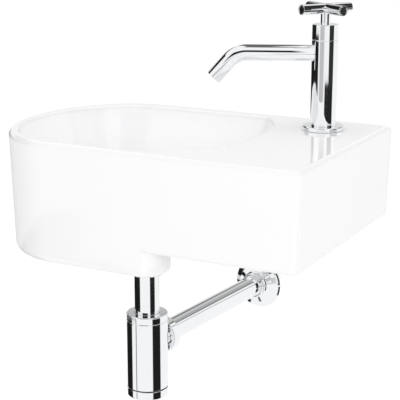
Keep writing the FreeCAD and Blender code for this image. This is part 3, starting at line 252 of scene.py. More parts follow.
def turnedMetal(name, axis, metal):
    material, tree, shader, point = startMaterial(name)
    around = centred(tree, point, axis)
    lines = placeGroup(tree, turningLines, around, -550, 200, Density=turning["density"],
                       Dark=metal["dark"], Light=metal["light"])
    wipe = placeGroup(tree, wipeMarks, point, -550, -150, Size=turning["wipeSize"],
                      Low=metal["polish"], High=metal["dull"])
    setInputs(tree, shader, {"Base Color": lines.outputs["Color"], "Metallic": 1.0,
                             "Roughness": wipe.outputs["Value"]})
    addBump(tree, shader, lines.outputs["Height"], turning["relief"], turning["depth"])
    return material


rubber = {"dark": (0.012, 0.012, 0.013, 1), "light": (0.045, 0.045, 0.046, 1), "density": 900.0,
          "polish": 0.55, "dull": 0.8, "depth": 0.0002}
sintered = {"dark": (0.80, 0.79, 0.75, 1), "light": (0.90, 0.89, 0.86, 1), "density": 600.0,
            "polish": 0.12, "dull": 0.25, "depth": 0.00003}
pores = {"wipeSize": 120.0, "relief": 0.25}


def grainy(name, stuff):
    material, tree, shader, point = startMaterial(name)
    grain = placeGroup(tree, fineGrain, point, -550, 200, Density=stuff["density"],
                       Dark=stuff["dark"], Light=stuff["light"])
    wipe = placeGroup(tree, wipeMarks, point, -550, -150, Size=pores["wipeSize"],
                      Low=stuff["polish"], High=stuff["dull"])
    setInputs(tree, shader, {"Base Color": grain.outputs["Color"], "Roughness": wipe.outputs["Value"]})
    addBump(tree, shader, grain.outputs["Height"], pores["relief"], stuff["depth"])
    return material


glazeFinish = glazedCeramic()
chromeFinish = polishedChrome()
tapBrass = turnedMetal("tapBrass", tapAxis, brass)
wasteBrass = turnedMetal("wasteBrass", drainAxis, brass)
zincSteel = turnedMetal("zincSteel", tapAxis, steel)
blackRubber = grainy("blackRubber", rubber)
discCeramic = grainy("discCeramic", sintered)
print("finishes ready")


# mesh building blocks: shares of a corner's sides, welding gaps in metres, and angles that stay sharp
meshing = {"roundingShare": 0.45, "supportReach": 1.6, "onAxis": 1e-6, "latheWeld": 1e-7, "solidWeld": 2e-6,
           "latheSharp": math.radians(32), "solidSharp": math.radians(28)}


def addPiece(name, mesh, finish, slot, body, *solids):
    mesh.materials.clear()
    mesh.materials.append(finish)
    piece = bpy.data.objects.new(name, mesh)
    bpy.context.scene.collection.objects.link(piece)
    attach(piece, body)
    if solids:
        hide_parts(*solids)
    return piece


def roundedOutline(corners, steps):  # corners are (radius, height, rounding) of a closed half section
    outline = []
    count = len(corners)
    for index, (radius, height, rounding) in enumerate(corners):
        here = Vector((radius, height))
        toBefore = Vector(corners[index - 1][:2]) - here
        toAfter = Vector(corners[(index + 1) % count][:2]) - here
        if rounding <= 0:
            outline.append(here)
            continue
        room = meshing["roundingShare"] * min(toBefore.length, toAfter.length)
        toBefore.normalize()
        toAfter.normalize()
        half = toBefore.angle(toAfter) / 2
        reach = min(rounding / math.tan(half), room)
        centre = here + (toBefore + toAfter).normalized() * (reach / math.cos(half))
        first = here + toBefore * reach - centre
        sweep = first.angle_signed(here + toAfter * reach - centre)
        support = min(reach * meshing["supportReach"], room)  # loops that keep long runs true
        outline.append(here + toBefore * support)
        for step in range(steps + 1):
            turn = -sweep * step / steps
            cosine, sine = math.cos(turn), math.sin(turn)
            spoke = Vector((first.x * cosine - first.y * sine, first.x * sine + first.y * cosine))
            outline.append(centre + spoke)
        outline.append(here + toAfter * support)
    return outline


def latheMesh(name, corners, place, segments=96, steps=5):
    build = bmesh.new()
    rings = []
    for radius, height in roundedOutline(corners, steps):
        if radius < meshing["onAxis"]:
            rings.append([build.verts.new((0, 0, height * mm))])
            continue
        turns = [2 * math.pi * step / segments for step in range(segments)]
        spots = [(radius * mm * math.cos(turn), radius * mm * math.sin(turn), height * mm) for turn in turns]
        rings.append([build.verts.new(spot) for spot in spots])
    for index, ring in enumerate(rings):
        other = rings[(index + 1) % len(rings)]
        for step in range(segments):
            after = (step + 1) % segments
            if len(ring) == 1 and len(other) == 1:
                break
            if len(ring) == 1:
                build.faces.new((ring[0], other[step], other[after]))
            elif len(other) == 1:
                build.faces.new((ring[step], ring[after], other[0]))
            else:
                build.faces.new((ring[step], ring[after], other[after], other[step]))
    bmesh.ops.remove_doubles(build, verts=build.verts, dist=meshing["latheWeld"])
    bmesh.ops.recalc_face_normals(build, faces=build.faces)
    build.transform(place)
    mesh = bpy.data.meshes.new(name)
    build.to_mesh(mesh)
    build.free()
    mesh.shade_smooth()
    mesh.set_sharp_from_angle(angle=meshing["latheSharp"])
    return mesh


def addTurned(name, corners, place, body, solid, segments=96, steps=5):  # a chromed piece around an axis
    addPiece(name, latheMesh(name, corners, place, segments, steps), chromeFinish, "chrome", body, solid)


def joinMeshes(name, meshes):
    build = bmesh.new()
    for mesh in meshes:
        build.from_mesh(mesh)
    joined = bpy.data.meshes.new(name)
    build.to_mesh(joined)
    build.free()
    joined.shade_smooth()
    joined.set_sharp_from_angle(angle=meshing["latheSharp"])
    return joined


def mergedCopy(name, node):
    mesh = cadNodes[node].data.copy()
    mesh.name = name
    build = bmesh.new()
    build.from_mesh(mesh)
    bmesh.ops.remove_doubles(build, verts=build.verts, dist=meshing["solidWeld"])
    build.to_mesh(mesh)
    build.free()
    if "custom_normal" in mesh.attributes:
        mesh.attributes.remove(mesh.attributes["custom_normal"])
    mesh.shade_smooth()
    mesh.set_sharp_from_angle(angle=meshing["solidSharp"])
    return mesh


def evenNormals(piece):  # flats keep their own normal beside narrow roundings
    even = piece.modifiers.new("evenNormals", "WEIGHTED_NORMAL")
    even.mode = "FACE_AREA"
    even.weight = 100
    even.keep_sharp = True


onTap = Matrix.Translation((tapAxis.x, tapAxis.y, rimLevel))
onDrain = Matrix.Translation((drainAxis.x, drainAxis.y, 0))
outletSwing = Matrix.Rotation(math.atan2(-outletWay.x, outletWay.y), 4, "Z")
atOutlet = Matrix.Translation((drainAxis.x, drainAxis.y, outletLevel))
towardsWall = atOutlet @ outletSwing @ Matrix.Rotation(-math.pi / 2, 4, "X")


def levels(node):  # lowest and highest level of a solid, in millimetres
    low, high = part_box(node)
    return low.z / mm, high.z / mm


# basin
basinMesh = mergedCopy("basinShell", "basin")
basinShell = addPiece("basinShell", basinMesh, glazeFinish, "glazed_ceramic", "basin_set", "basin")
evenNormals(basinShell)
print("basin ready:", len(basinShell.data.polygons), "faces")

# tap flange, with levels from the deck
tapFlange = {"radius": 26, "bore": 10.6, "foot": 0.25, "top": 5.5, "footIn": 0.4, "footUp": 0.5, "footSoft": 0.3,
             "topIn": 1.6, "topDown": 1.1, "topSoft": 0.9}


def makeTapFlange():
    size = tapFlange
    addTurned("tapFlangeRing", [
        (size["bore"], size["foot"], 0),
        (size["radius"] - size["footIn"], size["foot"], size["footSoft"]),
        (size["radius"], size["foot"] + size["footUp"], size["footSoft"]),
        (size["radius"], size["top"] - size["topDown"], size["topSoft"]),
        (size["radius"] - size["topIn"], size["top"], size["topSoft"]),
        (size["bore"], size["top"], 0),
    ], onTap, "basin_set", "tap_flange")


# tap column and its bonnet, which meet at a seam
tapColumn = {"radius": 16, "seam": 110.5, "top": 129.5, "seamGroove": 0.45, "seamSoft": 0.35, "bore": 10.4,
             "footEdge": 0.3, "footSoft": 0.15, "topSoft": 0.9, "neckHole": 6.3, "holeSoft": 0.4, "roof": 3,
             "inner": 14.4, "segments": 128}


def makeTapColumn():
    size = tapColumn
    foot, groove = tapFlange["top"], size["seamGroove"]
    addTurned("tapColumn", [
        (size["bore"], foot, 0),
        (size["radius"] - size["footEdge"], foot, size["footSoft"]),
        (size["radius"], foot + size["footEdge"], size["footSoft"]),
        (size["radius"], size["seam"] - groove, size["seamSoft"]),
        (size["radius"] - groove, size["seam"], 0),
        (size["bore"], size["seam"], 0),
    ], onTap, "basin_set", "tap_body", size["segments"])
    addTurned("tapBonnet", [
        (size["inner"], size["seam"], 0),
        (size["radius"] - groove, size["seam"], 0),
        (size["radius"], size["seam"] + groove, size["seamSoft"]),
        (size["radius"], size["top"], size["topSoft"]),
        (size["neckHole"], size["top"], size["holeSoft"]),
        (size["neckHole"], size["top"] - size["roof"], 0),
        (size["inner"], size["top"] - size["roof"], 0),
    ], onTap, "basin_set", "tap_bonnet", size["segments"])


makeTapFlange()
makeTapColumn()

# cross handle
crossHandle = {"neckRadius": 6, "neckBore": 4.1, "neckFoot": 125.5, "neckSoft": 0.3, "neckSink": 1,
               "barRadius": 6.25, "barLength": 71, "barLevel": 148, "turn": 57, "edge": 0.35, "rimIn": 1.1,
               "rimSoft": 0.25, "dish": 0.2, "dishIn": 1.6, "dishSoft": 0.4, "segments": 64}


def makeCrossHandle():
    size = crossHandle
    half = size["barLength"] / 2
    rim, dish = size["barRadius"] - size["rimIn"], size["barRadius"] - size["dishIn"]
    barCorners = [
        (0, -half + size["dish"], 0),
        (dish, -half + size["dish"], size["dishSoft"]),
        (rim, -half, size["rimSoft"]),
        (size["barRadius"], -half, size["edge"]),
        (size["barRadius"], half, size["edge"]),
        (rim, half, size["rimSoft"]),
        (dish, half - size["dish"], size["dishSoft"]),
        (0, half - size["dish"], 0),
    ]
    turned = onTap @ Matrix.Rotation(math.radians(size["turn"]), 4, "Z")
    atBars = turned @ Matrix.Translation((0, 0, size["barLevel"] * mm))
    laid = [atBars @ Matrix.Rotation(math.pi / 2, 4, axis) for axis in "XY"]
    bars = [latheMesh("bar", barCorners, place, size["segments"]) for place in laid]
    neckTop = size["barLevel"] - size["neckSink"]
    neck = latheMesh("neck", [
        (size["neckBore"], size["neckFoot"], 0),
        (size["neckRadius"], size["neckFoot"], size["neckSoft"]),
        (size["neckRadius"], neckTop, 0),
        (size["neckBore"], neckTop, 0),
    ], onTap, size["segments"])
    mesh = joinMeshes("crossHandle", bars + [neck])
    addPiece("crossHandle", mesh, chromeFinish, "chrome", "handle", "cross_handle")


makeCrossHandle()
print("tap column and handle ready")


# geometry nodes: a tube that follows a bent path, and the ridge of a thread

def newShapeTree(name, inputs):
    tree = bpy.data.node_groups.new(name, "GeometryNodeTree")
    tree.interface.new_socket("Geometry", in_out="INPUT", socket_type="NodeSocketGeometry")
    for label, kind in inputs:
        tree.interface.new_socket(label, in_out="INPUT", socket_type=kind)
    tree.interface.new_socket("Geometry", in_out="OUTPUT", socket_type="NodeSocketGeometry")
    return tree, addNode(tree, "NodeGroupInput", -900), addNode(tree, "NodeGroupOutput", 900)


def closeShapeTree(tree, shape, given, result):
    realize = setInputs(tree, addNode(tree, "GeometryNodeRealizeInstances", 500), {"Geometry": shape})
    finish = setInputs(tree, addNode(tree, "GeometryNodeSetMaterial", 700), {
        "Geometry": realize.outputs["Geometry"], "Material": given.outputs["Finish"]})
    setInputs(tree, result, {"Geometry": finish.outputs["Geometry"]})


def bentTubeTree():
    tree, given, result = newShapeTree("bentTube", [
        ("Bend Radius", "NodeSocketFloat"), ("Bend Steps", "NodeSocketInt"),
        ("Tube Radius", "NodeSocketFloat"), ("Round Steps", "NodeSocketInt"), ("Finish", "NodeSocketMaterial")])
    fillet = addNode(tree, "GeometryNodeFilletCurve", -500)
    fillet.mode = "POLY"
    setInputs(tree, fillet, {
        "Curve": given.outputs["Geometry"], "Radius": given.outputs["Bend Radius"],
        "Count": given.outputs["Bend Steps"]})
    ring = setInputs(tree, addNode(tree, "GeometryNodeCurvePrimitiveCircle", -500, -250), {
        "Resolution": given.outputs["Round Steps"], "Radius": given.outputs["Tube Radius"]})
    sweep = setInputs(tree, addNode(tree, "GeometryNodeCurveToMesh", -100), {
        "Curve": fillet.outputs["Curve"], "Profile Curve": ring.outputs["Curve"]})
    smooth = setInputs(tree, addNode(tree, "GeometryNodeSetShadeSmooth", 200), {
        "Geometry": sweep.outputs["Mesh"]})
    closeShapeTree(tree, smooth.outputs["Geometry"], given, result)
    return tree


def threadTree():
    tree, given, result = newShapeTree("threadRidge", [
        ("Radius", "NodeSocketFloat"), ("Turns", "NodeSocketFloat"), ("Height", "NodeSocketFloat"),
        ("Ridge", "NodeSocketFloat"), ("Finish", "NodeSocketMaterial")])
    spiral = setInputs(tree, addNode(tree, "GeometryNodeCurveSpiral", -500), {
        "Resolution": 40, "Rotations": given.outputs["Turns"], "Start Radius": given.outputs["Radius"],
        "End Radius": given.outputs["Radius"], "Height": given.outputs["Height"]})  # 40 points a turn
    ring = setInputs(tree, addNode(tree, "GeometryNodeCurvePrimitiveCircle", -500, -300), {
        "Resolution": 4, "Radius": given.outputs["Ridge"]})  # a square ridge on its edge
    sweep = setInputs(tree, addNode(tree, "GeometryNodeCurveToMesh", -100), {
        "Curve": spiral.outputs["Curve"], "Profile Curve": ring.outputs["Curve"], "Fill Caps": True})
    closeShapeTree(tree, sweep.outputs["Mesh"], given, result)
    return tree


def runShapeTree(name, start, tree, values):
    holder = bpy.data.objects.new(name + "Path", start)
    bpy.context.scene.collection.objects.link(holder)
    shape = holder.modifiers.new("shape", "NODES")
    shape.node_group = tree
    for item in tree.interface.items_tree:
        if item.item_type == "SOCKET" and item.in_out == "INPUT" and item.name in values:
            shape[item.identifier] = values[item.name]
    bpy.context.view_layer.update()
    shaped = holder.evaluated_get(bpy.context.evaluated_depsgraph_get())
    mesh = bpy.data.meshes.new_from_object(shaped)
    holder.modifiers.remove(shape)
    bpy.data.objects.remove(holder)
    mesh.name = name
    return mesh


bentTube = bentTubeTree()
threadRidge = threadTree()

# spout
spoutTube = {"level": 94, "seat": 11.3, "straight": 94, "bendRadius": 30, "bendAngle": 48, "endRun": 28,
             "swing": 23, "radius": 10, "wall": 1.2, "bendSteps": 24, "roundSteps": 64,
             "lip": 0.35, "lipSteps": 3, "lipAngle": 50}


def makeSpout():
    size = spoutTube
    angle = math.radians(size["bendAngle"])
    corner = size["straight"] + size["bendRadius"] * math.tan(angle / 2)
    last = size["bendRadius"] * math.tan(angle / 2) + size["endRun"]
    points = [(size["seat"], 0), (corner, 0), (corner + last * math.cos(angle), -last * math.sin(angle))]
    path = bpy.data.curves.new("spoutPath", "CURVE")
    path.dimensions = "3D"
    run = path.splines.new("POLY")
    run.points.add(len(points) - 1)
    for point, (out, up) in zip(run.points, points):
        point.co = (out * mm, 0, up * mm, 1)
    mesh = runShapeTree("spoutTube", path, bentTube, {
        "Bend Radius": size["bendRadius"] * mm, "Bend Steps": size["bendSteps"],
        "Tube Radius": size["radius"] * mm, "Round Steps": size["roundSteps"], "Finish": chromeFinish})
    swing = Matrix.Rotation(math.radians(180 + size["swing"]), 4, "Z")
    mesh.transform(onTap @ Matrix.Translation((0, 0, size["level"] * mm)) @ swing)
    build = bmesh.new()
    build.from_mesh(mesh)
    bmesh.ops.recalc_face_normals(build, faces=build.faces)
    build.to_mesh(mesh)
    build.free()
    mesh.shade_smooth()
    spout = addPiece("spoutTube", mesh, chromeFinish, "chrome", "basin_set", "tap_spout")
    wall = spout.modifiers.new("tubeWall", "SOLIDIFY")
    wall.thickness = size["wall"] * mm
    wall.offset = -1
    lip = spout.modifiers.new("lipEdge", "BEVEL")
    lip.width = size["lip"] * mm
    lip.segments = size["lipSteps"]
    lip.limit_method = "ANGLE"
    lip.angle_limit = math.radians(size["lipAngle"])


makeSpout()

# threads
threads = [
    {"name": "supplyThread", "axis": tapAxis, "foot": 24.2, "height": 23.5, "radius": 9.9, "ridge": 0.45,
     "pitch": 1.81, "finish": tapBrass, "slot": "brass"},
    {"name": "tailThread", "axis": tapAxis, "foot": 48.8, "height": 4.2, "radius": 10.2, "ridge": 0.45,
     "pitch": 1.81, "finish": tapBrass, "slot": "brass"},
    {"name": "wasteThread", "axis": drainAxis, "foot": -77.2, "height": 5.8, "radius": 20.6, "ridge": 0.5,
     "pitch": 2.3, "finish": chromeFinish, "slot": "chrome"},
]
for thread in threads:
    ridge = runShapeTree(thread["name"], bpy.data.meshes.new(thread["name"]), threadRidge, {
        "Radius": thread["radius"] * mm, "Turns": thread["height"] / thread["pitch"],
        "Height": thread["height"] * mm, "Ridge": thread["ridge"] * mm, "Finish": thread["finish"]})
    ridge.transform(Matrix.Translation((thread["axis"].x, thread["axis"].y, thread["foot"] * mm)))
    addPiece(thread["name"], ridge, thread["finish"], thread["slot"], "basin_set")
print("spout and threads ready")

# bottle trap, with levels read from the solids and its outlet's distances from the trap's axis
trapBottle = {"radius": 26.5, "inner": 23.5, "spigot": 23.2, "groove": 0.5, "seamSoft": 0.3, "edge": 1.2,
              "segments": 128}
outletRun = {"spigotBore": 13, "spigotRadius": 17.3, "spigotEnd": 36.5, "spigotSoft": 0.3, "pipeSeat": 15.3,
             "sealEnd": 38.5, "sealBore": 15.08, "sealSoft": 0.4}


def makeTrapBottle():
    size, run = trapBottle, outletRun
    radius, groove, soft = size["radius"], size["groove"], size["seamSoft"]
    foot, top = levels("trap_body")
    body = latheMesh("trapBottle", [
        (size["inner"], foot, 0),
        (radius - groove, foot, 0),
        (radius, foot + groove, soft),
        (radius, top - groove, soft),
        (radius - groove, top, 0),
        (size["inner"], top, 0),
    ], onDrain, size["segments"])
    spigot = latheMesh("outletSpigot", [
        (run["spigotBore"], size["spigot"], 0),
        (run["spigotRadius"], size["spigot"], 0),
        (run["spigotRadius"], run["spigotEnd"], run["spigotSoft"]),
        (run["pipeSeat"], run["spigotEnd"], 0),
        (run["pipeSeat"], outletPipe["start"], 0),
        (run["spigotBore"], outletPipe["start"], 0),
    ], towardsWall)
    addPiece("trapBottle", joinMeshes("trapBottle", [body, spigot]), chromeFinish, "chrome", "trap", "trap_body")


topCap = {"bore": 16.3, "boreSoft": 0.5, "sealSeat": 18.7, "sealDepth": 6}


def makeTopCap():
    size, cap = trapBottle, topCap
    radius, groove, soft = size["radius"], size["groove"], size["seamSoft"]
    foot, top = levels("trap_top_cap")
    seam = levels("trap_body")[1]
    addTurned("trapTopCap", [
        (cap["bore"], top, cap["boreSoft"]),
        (radius, top, size["edge"]),
        (radius, seam + groove, soft),
        (radius - groove, seam, 0),
        (size["spigot"], seam, 0),
        (size["spigot"], foot, soft),
        (cap["sealSeat"], foot, 0),
        (cap["sealSeat"], foot + cap["sealDepth"], 0),
        (cap["bore"], foot + cap["sealDepth"], 0),
    ], onDrain, "trap", "trap_top_cap", size["segments"])


baseCup = {"wall": 2.6, "floor": 3, "floorSoft": 1, "hollow": 0.8, "hollowIn": 6, "footIn": 5, "footSoft": 0.5}


def makeBaseCup():
    size, cup = trapBottle, baseCup
    radius, groove, soft = size["radius"], size["groove"], size["seamSoft"]
    foot, top = levels("trap_base_cup")
    seam = levels("trap_base_seal")[0]
    inner = size["spigot"] - cup["wall"]
    addTurned("trapBaseCup", [
        (0, foot + cup["hollow"], 0),
        (radius - cup["hollowIn"], foot + cup["hollow"], cup["footSoft"]),
        (radius - cup["footIn"], foot, cup["footSoft"]),
        (radius, foot, size["edge"]),
        (radius, seam - groove, soft),
        (radius - groove, seam, 0),
        (size["spigot"], seam, 0),
        (size["spigot"], top, soft),
        (inner, top, soft),
        (inner, foot + cup["floor"], cup["floorSoft"]),
        (0, foot + cup["floor"], 0),
    ], onDrain, "base_cup", "trap_base_cup", size["segments"])


# inlet tube with the collar that its union nut lifts
inletTube = {"radius": 16, "wall": 1.2, "footSoft": 0.2, "collarRadius": 20.3, "collarHeight": 2.5,
             "collarSoft": 0.4, "neckSoft": 0.8, "topSoft": 0.3}


def makeInletTube():
    size = inletTube
    foot, top = levels("trap_inlet_tube")
    bore = size["radius"] - size["wall"]
    collar = top - size["collarHeight"]
    addTurned("inletTube", [
        (bore, foot, size["footSoft"]),
        (size["radius"], foot, size["footSoft"]),
        (size["radius"], collar, size["neckSoft"]),
        (size["collarRadius"], collar, size["collarSoft"]),
        (size["collarRadius"], top, size["collarSoft"]),
        (bore, top, size["topSoft"]),
    ], onDrain, "basin_set", "trap_inlet_tube")


unionNut = {"radius": 24, "footRadius": 22.4, "topRadius": 23, "bore": 16.3, "boreSoft": 0.3, "thread": 21,
            "threadSoft": 0.2, "floor": 3, "footUp": 1.6, "footSoft": 0.8, "topDown": 1.2, "topSoft": 0.4,
            "sideSoft": 0.6}


def makeUnionNut():
    size = unionNut
    foot, top = levels("trap_union_nut")
    addTurned("unionNut", [
        (size["bore"], foot, size["boreSoft"]),
        (size["footRadius"], foot, size["footSoft"]),
        (size["radius"], foot + size["footUp"], size["sideSoft"]),
        (size["radius"], top - size["topDown"], size["sideSoft"]),
        (size["topRadius"], top, size["topSoft"]),
        (size["thread"], top, size["threadSoft"]),
        (size["thread"], foot + size["floor"], 0),
        (size["bore"], foot + size["floor"], 0),
    ], onDrain, "basin_set", "trap_union_nut")


outletNut = {"radius": 24, "start": 27.1, "end": 40.9, "thread": 17.6, "threadSoft": 0.2, "bore": 15.3,
             "boreSoft": 0.4, "startSoft": 0.6, "endSoft": 1.6}


def makeOutletNut():
    size = outletNut
    addTurned("outletNut", [
        (size["thread"], size["start"], size["threadSoft"]),
        (size["radius"], size["start"], size["startSoft"]),
        (size["radius"], size["end"], size["endSoft"]),
        (size["bore"], size["end"], size["boreSoft"]),
        (size["bore"], outletRun["sealEnd"], 0),
        (size["thread"], outletRun["sealEnd"], 0),
    ], towardsWall, "trap", "trap_outlet_nut")


outletPipe = {"radius": 15, "bore": 13.8, "start": 28.5, "rosette": 285, "tail": 14.7, "end": 325,
              "endSoft": 0.2, "stepSoft": 0.12, "tailSoft": 0.5}


def makeOutletPipe():
    size = outletPipe
    addTurned("outletPipe", [
        (size["bore"], size["start"], size["endSoft"]),
        (size["radius"], size["start"], size["endSoft"]),
        (size["radius"], size["rosette"], size["stepSoft"]),
        (size["tail"], size["rosette"], 0),
        (size["tail"], size["end"], size["tailSoft"]),
        (size["bore"], size["end"], size["endSoft"]),
    ], towardsWall, "trap", "trap_outlet_pipe")


makeTrapBottle()
makeTopCap()
makeBaseCup()
makeInletTube()
makeUnionNut()
makeOutletNut()
makeOutletPipe()

# rosette, with heights from its wall side towards the trap; shoulder, brim and hollow are whole corners
rosette = {"radius": 36.5, "bore": 15.08, "boreSoft": 0.3, "hubRadius": 18, "hubTop": 18, "hubSoft": 1.2,
           "hubFoot": 9.4, "footSoft": 2.2, "shoulder": (27.5, 7.3, 8), "brim": (34.8, 4.0, 5), "rimHeight": 1.2,
           "rimSoft": 1.0, "rimWidth": 1.6, "backSoft": 0.2, "hollow": (27, 4.2, 5), "boreFoot": 7.4,
           "segments": 128, "steps": 8}


def makeRosette():
    size = rosette
    atRosette = towardsWall @ Matrix.Translation((0, 0, outletPipe["rosette"] * mm))
    addTurned("wallRosette", [
        (size["bore"], size["hubTop"], size["boreSoft"]),
        (size["hubRadius"], size["hubTop"], size["hubSoft"]),
        (size["hubRadius"], size["hubFoot"], size["footSoft"]),
        size["shoulder"],
        size["brim"],
        (size["radius"], size["rimHeight"], size["rimSoft"]),
        (size["radius"], 0, size["backSoft"]),
        (size["radius"] - size["rimWidth"], 0, size["backSoft"]),
        size["hollow"],
        (size["bore"], size["boreFoot"], size["boreSoft"]),
    ], atRosette @ Matrix.Rotation(math.pi, 4, "X"), "rosette", "wall_rosette", size["segments"], size["steps"])


makeRosette()
print("trap and rosette ready")

# waste cap with a low dome; shoulder and dome are shares of its radius
wasteCap = {"radius": 30, "crown": 4, "pin": 2.7, "pinSoft": 0.3, "pinLength": 5, "boss": 4, "bossSoft": 0.2,
            "bossTopSoft": 1.5, "rimIn": 0.8, "rimUp": 1.3, "underSoft": 0.4, "rimSoft": 0.6,
            "shoulder": 0.86, "shoulderDrop": 0.9, "shoulderSoft": 6, "dome": 0.45, "domeSoft": 14,
            "segments": 96, "steps": 6}


def makeWasteCap():
    size = wasteCap
    foot, top = levels("waste_cap")
    under, pinTop = top - size["crown"], foot + size["pinLength"]
    addTurned("wasteCap", [
        (0, foot, 0),
        (size["pin"], foot, size["pinSoft"]),
        (size["pin"], pinTop, 0),
        (size["boss"], pinTop, size["bossSoft"]),
        (size["boss"], under, size["bossTopSoft"]),
        (size["radius"] - size["rimIn"], under, size["underSoft"]),
        (size["radius"], under + size["rimUp"], size["rimSoft"]),
        (size["radius"] * size["shoulder"], top - size["shoulderDrop"], size["shoulderSoft"]),
        (size["radius"] * size["dome"], top, size["domeSoft"]),
        (0, top, 0),
    ], onDrain, "basin_set", "waste_cap", size["segments"], size["steps"])


makeWasteCap()

# soft rings and washers: (solid, inner, outer, rounding, finish, slot, body)
softRings = [
    ("tap_deck_seal", 10.6, 23, 0.35, blackRubber, "rubber", "basin_set"),
    ("tap_rubber_washer", 10.6, 21, 0.8, blackRubber, "rubber", "basin_set"),
    ("tap_steel_washer", 10.6, 21, 0.35, zincSteel, "steel", "basin_set"),
    ("waste_upper_seal", 21, 30, 0.5, blackRubber, "rubber", "basin_set"),
    ("waste_lower_seal", 21, 29, 0.8, blackRubber, "rubber", "basin_set"),
    ("trap_union_seal", 16, 20.3, 0.5, blackRubber, "rubber", "basin_set"),
    ("trap_top_seal", 16.08, 18.6, 0.5, blackRubber, "rubber", "trap"),
    ("trap_base_seal", 23.5, 25.7, 0.4, blackRubber, "rubber", "cup_seal"),
]
ringRound = {"segments": 72, "steps": 3}


def ringMesh(name, inner, outer, low, high, rounding, place):
    corners = [(inner, low, rounding), (outer, low, rounding), (outer, high, rounding), (inner, high, rounding)]
    return latheMesh(name, corners, place, ringRound["segments"], ringRound["steps"])


for solid, inner, outer, rounding, finish, slot, body in softRings:
    low, high = levels(solid)
    centre = onTap if solid.startswith("tap") else onDrain
    drop = rimLevel / mm if solid.startswith("tap") else 0
    ring = ringMesh(solid + "Ring", inner, outer, low - drop, high - drop, rounding, centre)
    addPiece(solid + "Ring", ring, finish, slot, body, solid)
outletSeal = ringMesh("outletSealRing", outletRun["sealBore"], outletRun["spigotRadius"], outletRun["spigotEnd"],
                      outletRun["sealEnd"], outletRun["sealSoft"], towardsWall)
addPiece("outletSealRing", outletSeal, blackRubber, "rubber", "trap", "trap_outlet_seal")

# pieces whose solids already have their shape; hex nuts get a small bevel: (solid, finish, bevel)
hexNuts = [("tap_backnut", tapBrass, 0.5), ("waste_backnut", wasteBrass, 0.6)]
for solid, finish, bevel in hexNuts:
    nut = addPiece(solid + "Hex", mergedCopy(solid + "Hex", solid), finish, "brass", "basin_set", solid)
    edge = nut.modifiers.new("edge", "BEVEL")
    edge.width = bevel * mm
    edge.segments = 2
    edge.limit_method = "ANGLE"
    edge.angle_limit = meshing["solidSharp"]
    evenNormals(nut)
wasteMesh = mergedCopy("wasteBody", "waste_body")
evenNormals(addPiece("wasteBody", wasteMesh, chromeFinish, "chrome", "basin_set", "waste_body"))

keptSolids = {
    "tap_tail": tapBrass, "tap_headwork": tapBrass, "tap_spindle": tapBrass, "handle_grub_screw": zincSteel,
    "spout_nozzle": chromeFinish, "tap_seat_seal": blackRubber, "tap_gland_ring": blackRubber,
    "fixed_ceramic_disc": discCeramic, "moving_ceramic_disc": discCeramic,
}
for solid, finish in keptSolids.items():
    cadNodes[solid].material_slots[0].material = finish
print("rings, nuts and kept solids ready")

# camera
view = {"azimuth": 27.63, "elevation": 14.617, "distance": 1.64646, "right": -0.01847, "up": -0.12299,
        "focal": 1224.0, "frameWidth": 400.0, "sensor": 36.0, "centre": Vector((-0.08609, 0, 0.08))}


def makeCamera():
    azimuth, elevation = math.radians(view["azimuth"]), math.radians(view["elevation"])
    right = Vector((math.cos(azimuth), math.sin(azimuth), 0))
    level = math.cos(elevation)
    back = Vector((math.sin(azimuth) * level, -math.cos(azimuth) * level, math.sin(elevation)))
    up = back.cross(right)
    data = bpy.data.cameras.new("photoCamera")
    data.sensor_width = view["sensor"]
    data.lens = view["sensor"] * view["focal"] / view["frameWidth"]
    camera = bpy.data.objects.new("photoCamera", data)
    turn = Matrix((right, up, back)).transposed().to_4x4()
    place = view["centre"] + right * view["right"] + up * view["up"] + back * view["distance"]
    camera.matrix_world = Matrix.Translation(place) @ turn
    bpy.context.scene.collection.objects.link(camera)
    bpy.context.scene.camera = camera


makeCamera()

# stage: white surround, pale floor, dark zones that only polished surfaces see, and two soft lamps
stage = {"floor": -0.77, "floorReach": 9.0, "floorTone": (0.93, 0.93, 0.93, 1), "floorGlow": 0.19,
         "sideLevel": 0.92, "topLevel": 0.87}
allRound = 181  # degrees either way, for a zone without ends
# each zone: (first, last, softness) in degrees from the photo's side, positive to its right,
# (lowest, highest, softness) in degrees, and tone
reflectedZones = [
    ((-166, -62, 4), (-11.4, -6.9, 0.2), 0.012),
    ((-163, -90, 4), (-7.2, 37, 0.4), 0.015),
    ((-150, -62, 4), (-20.1, -17.7, 0.2), 0.012),
    ((-152, -91, 4), (-50, -20.1, 0.2), 0.012),
    ((-65, -60, 2), (-50, -20.1, 0.2), 0.15),
    ((-172, -95, 20), (-17.7, -11.4, 0.6), 0.7),
    ((31, 79, 3), (-50, -17.7, 0.4), 0.015),
    ((0, 74, 3), (-12.5, -9.1, 0.3), 0.02),
    ((32, 76, 3), (-9.3, 38, 0.4), 0.035),
    ((70, 128, 6), (36, 60, 3), 0.03),
    ((-50, -12, 14), (-11.2, 3, 1.2), 0.56),
    ((-40, 8, 5), (12, 38, 3), 0.02),
    ((163, 197, 5), (40, 84, 3), 0.14),
    ((170, 190, 4), (17, 41, 3), 0.2),
    ((-allRound, allRound, 1), (81, 95, 3), 0.2),
    ((132, 153, 5), (24, 45, 3), 0.42),
    ((152, 170, 5), (24, 40, 3), 0.6),
    ((127, 133, 3), (20, 45, 3), 0.16),
    ((116, 119, 2), (12, 40, 3), 0.5),
    ((125, 235, 14), (4, 20, 3), 0.75),
]


def bandMask(tree, value, first, last, soft):  # 1 between first and last, with soft ends
    rise = addRange(tree, value, first - soft / 2, first + soft / 2, kind="SMOOTHSTEP")
    fall = addRange(tree, value, last + soft / 2, last - soft / 2, kind="SMOOTHSTEP")
    return addMath(tree, "MULTIPLY", rise, fall)


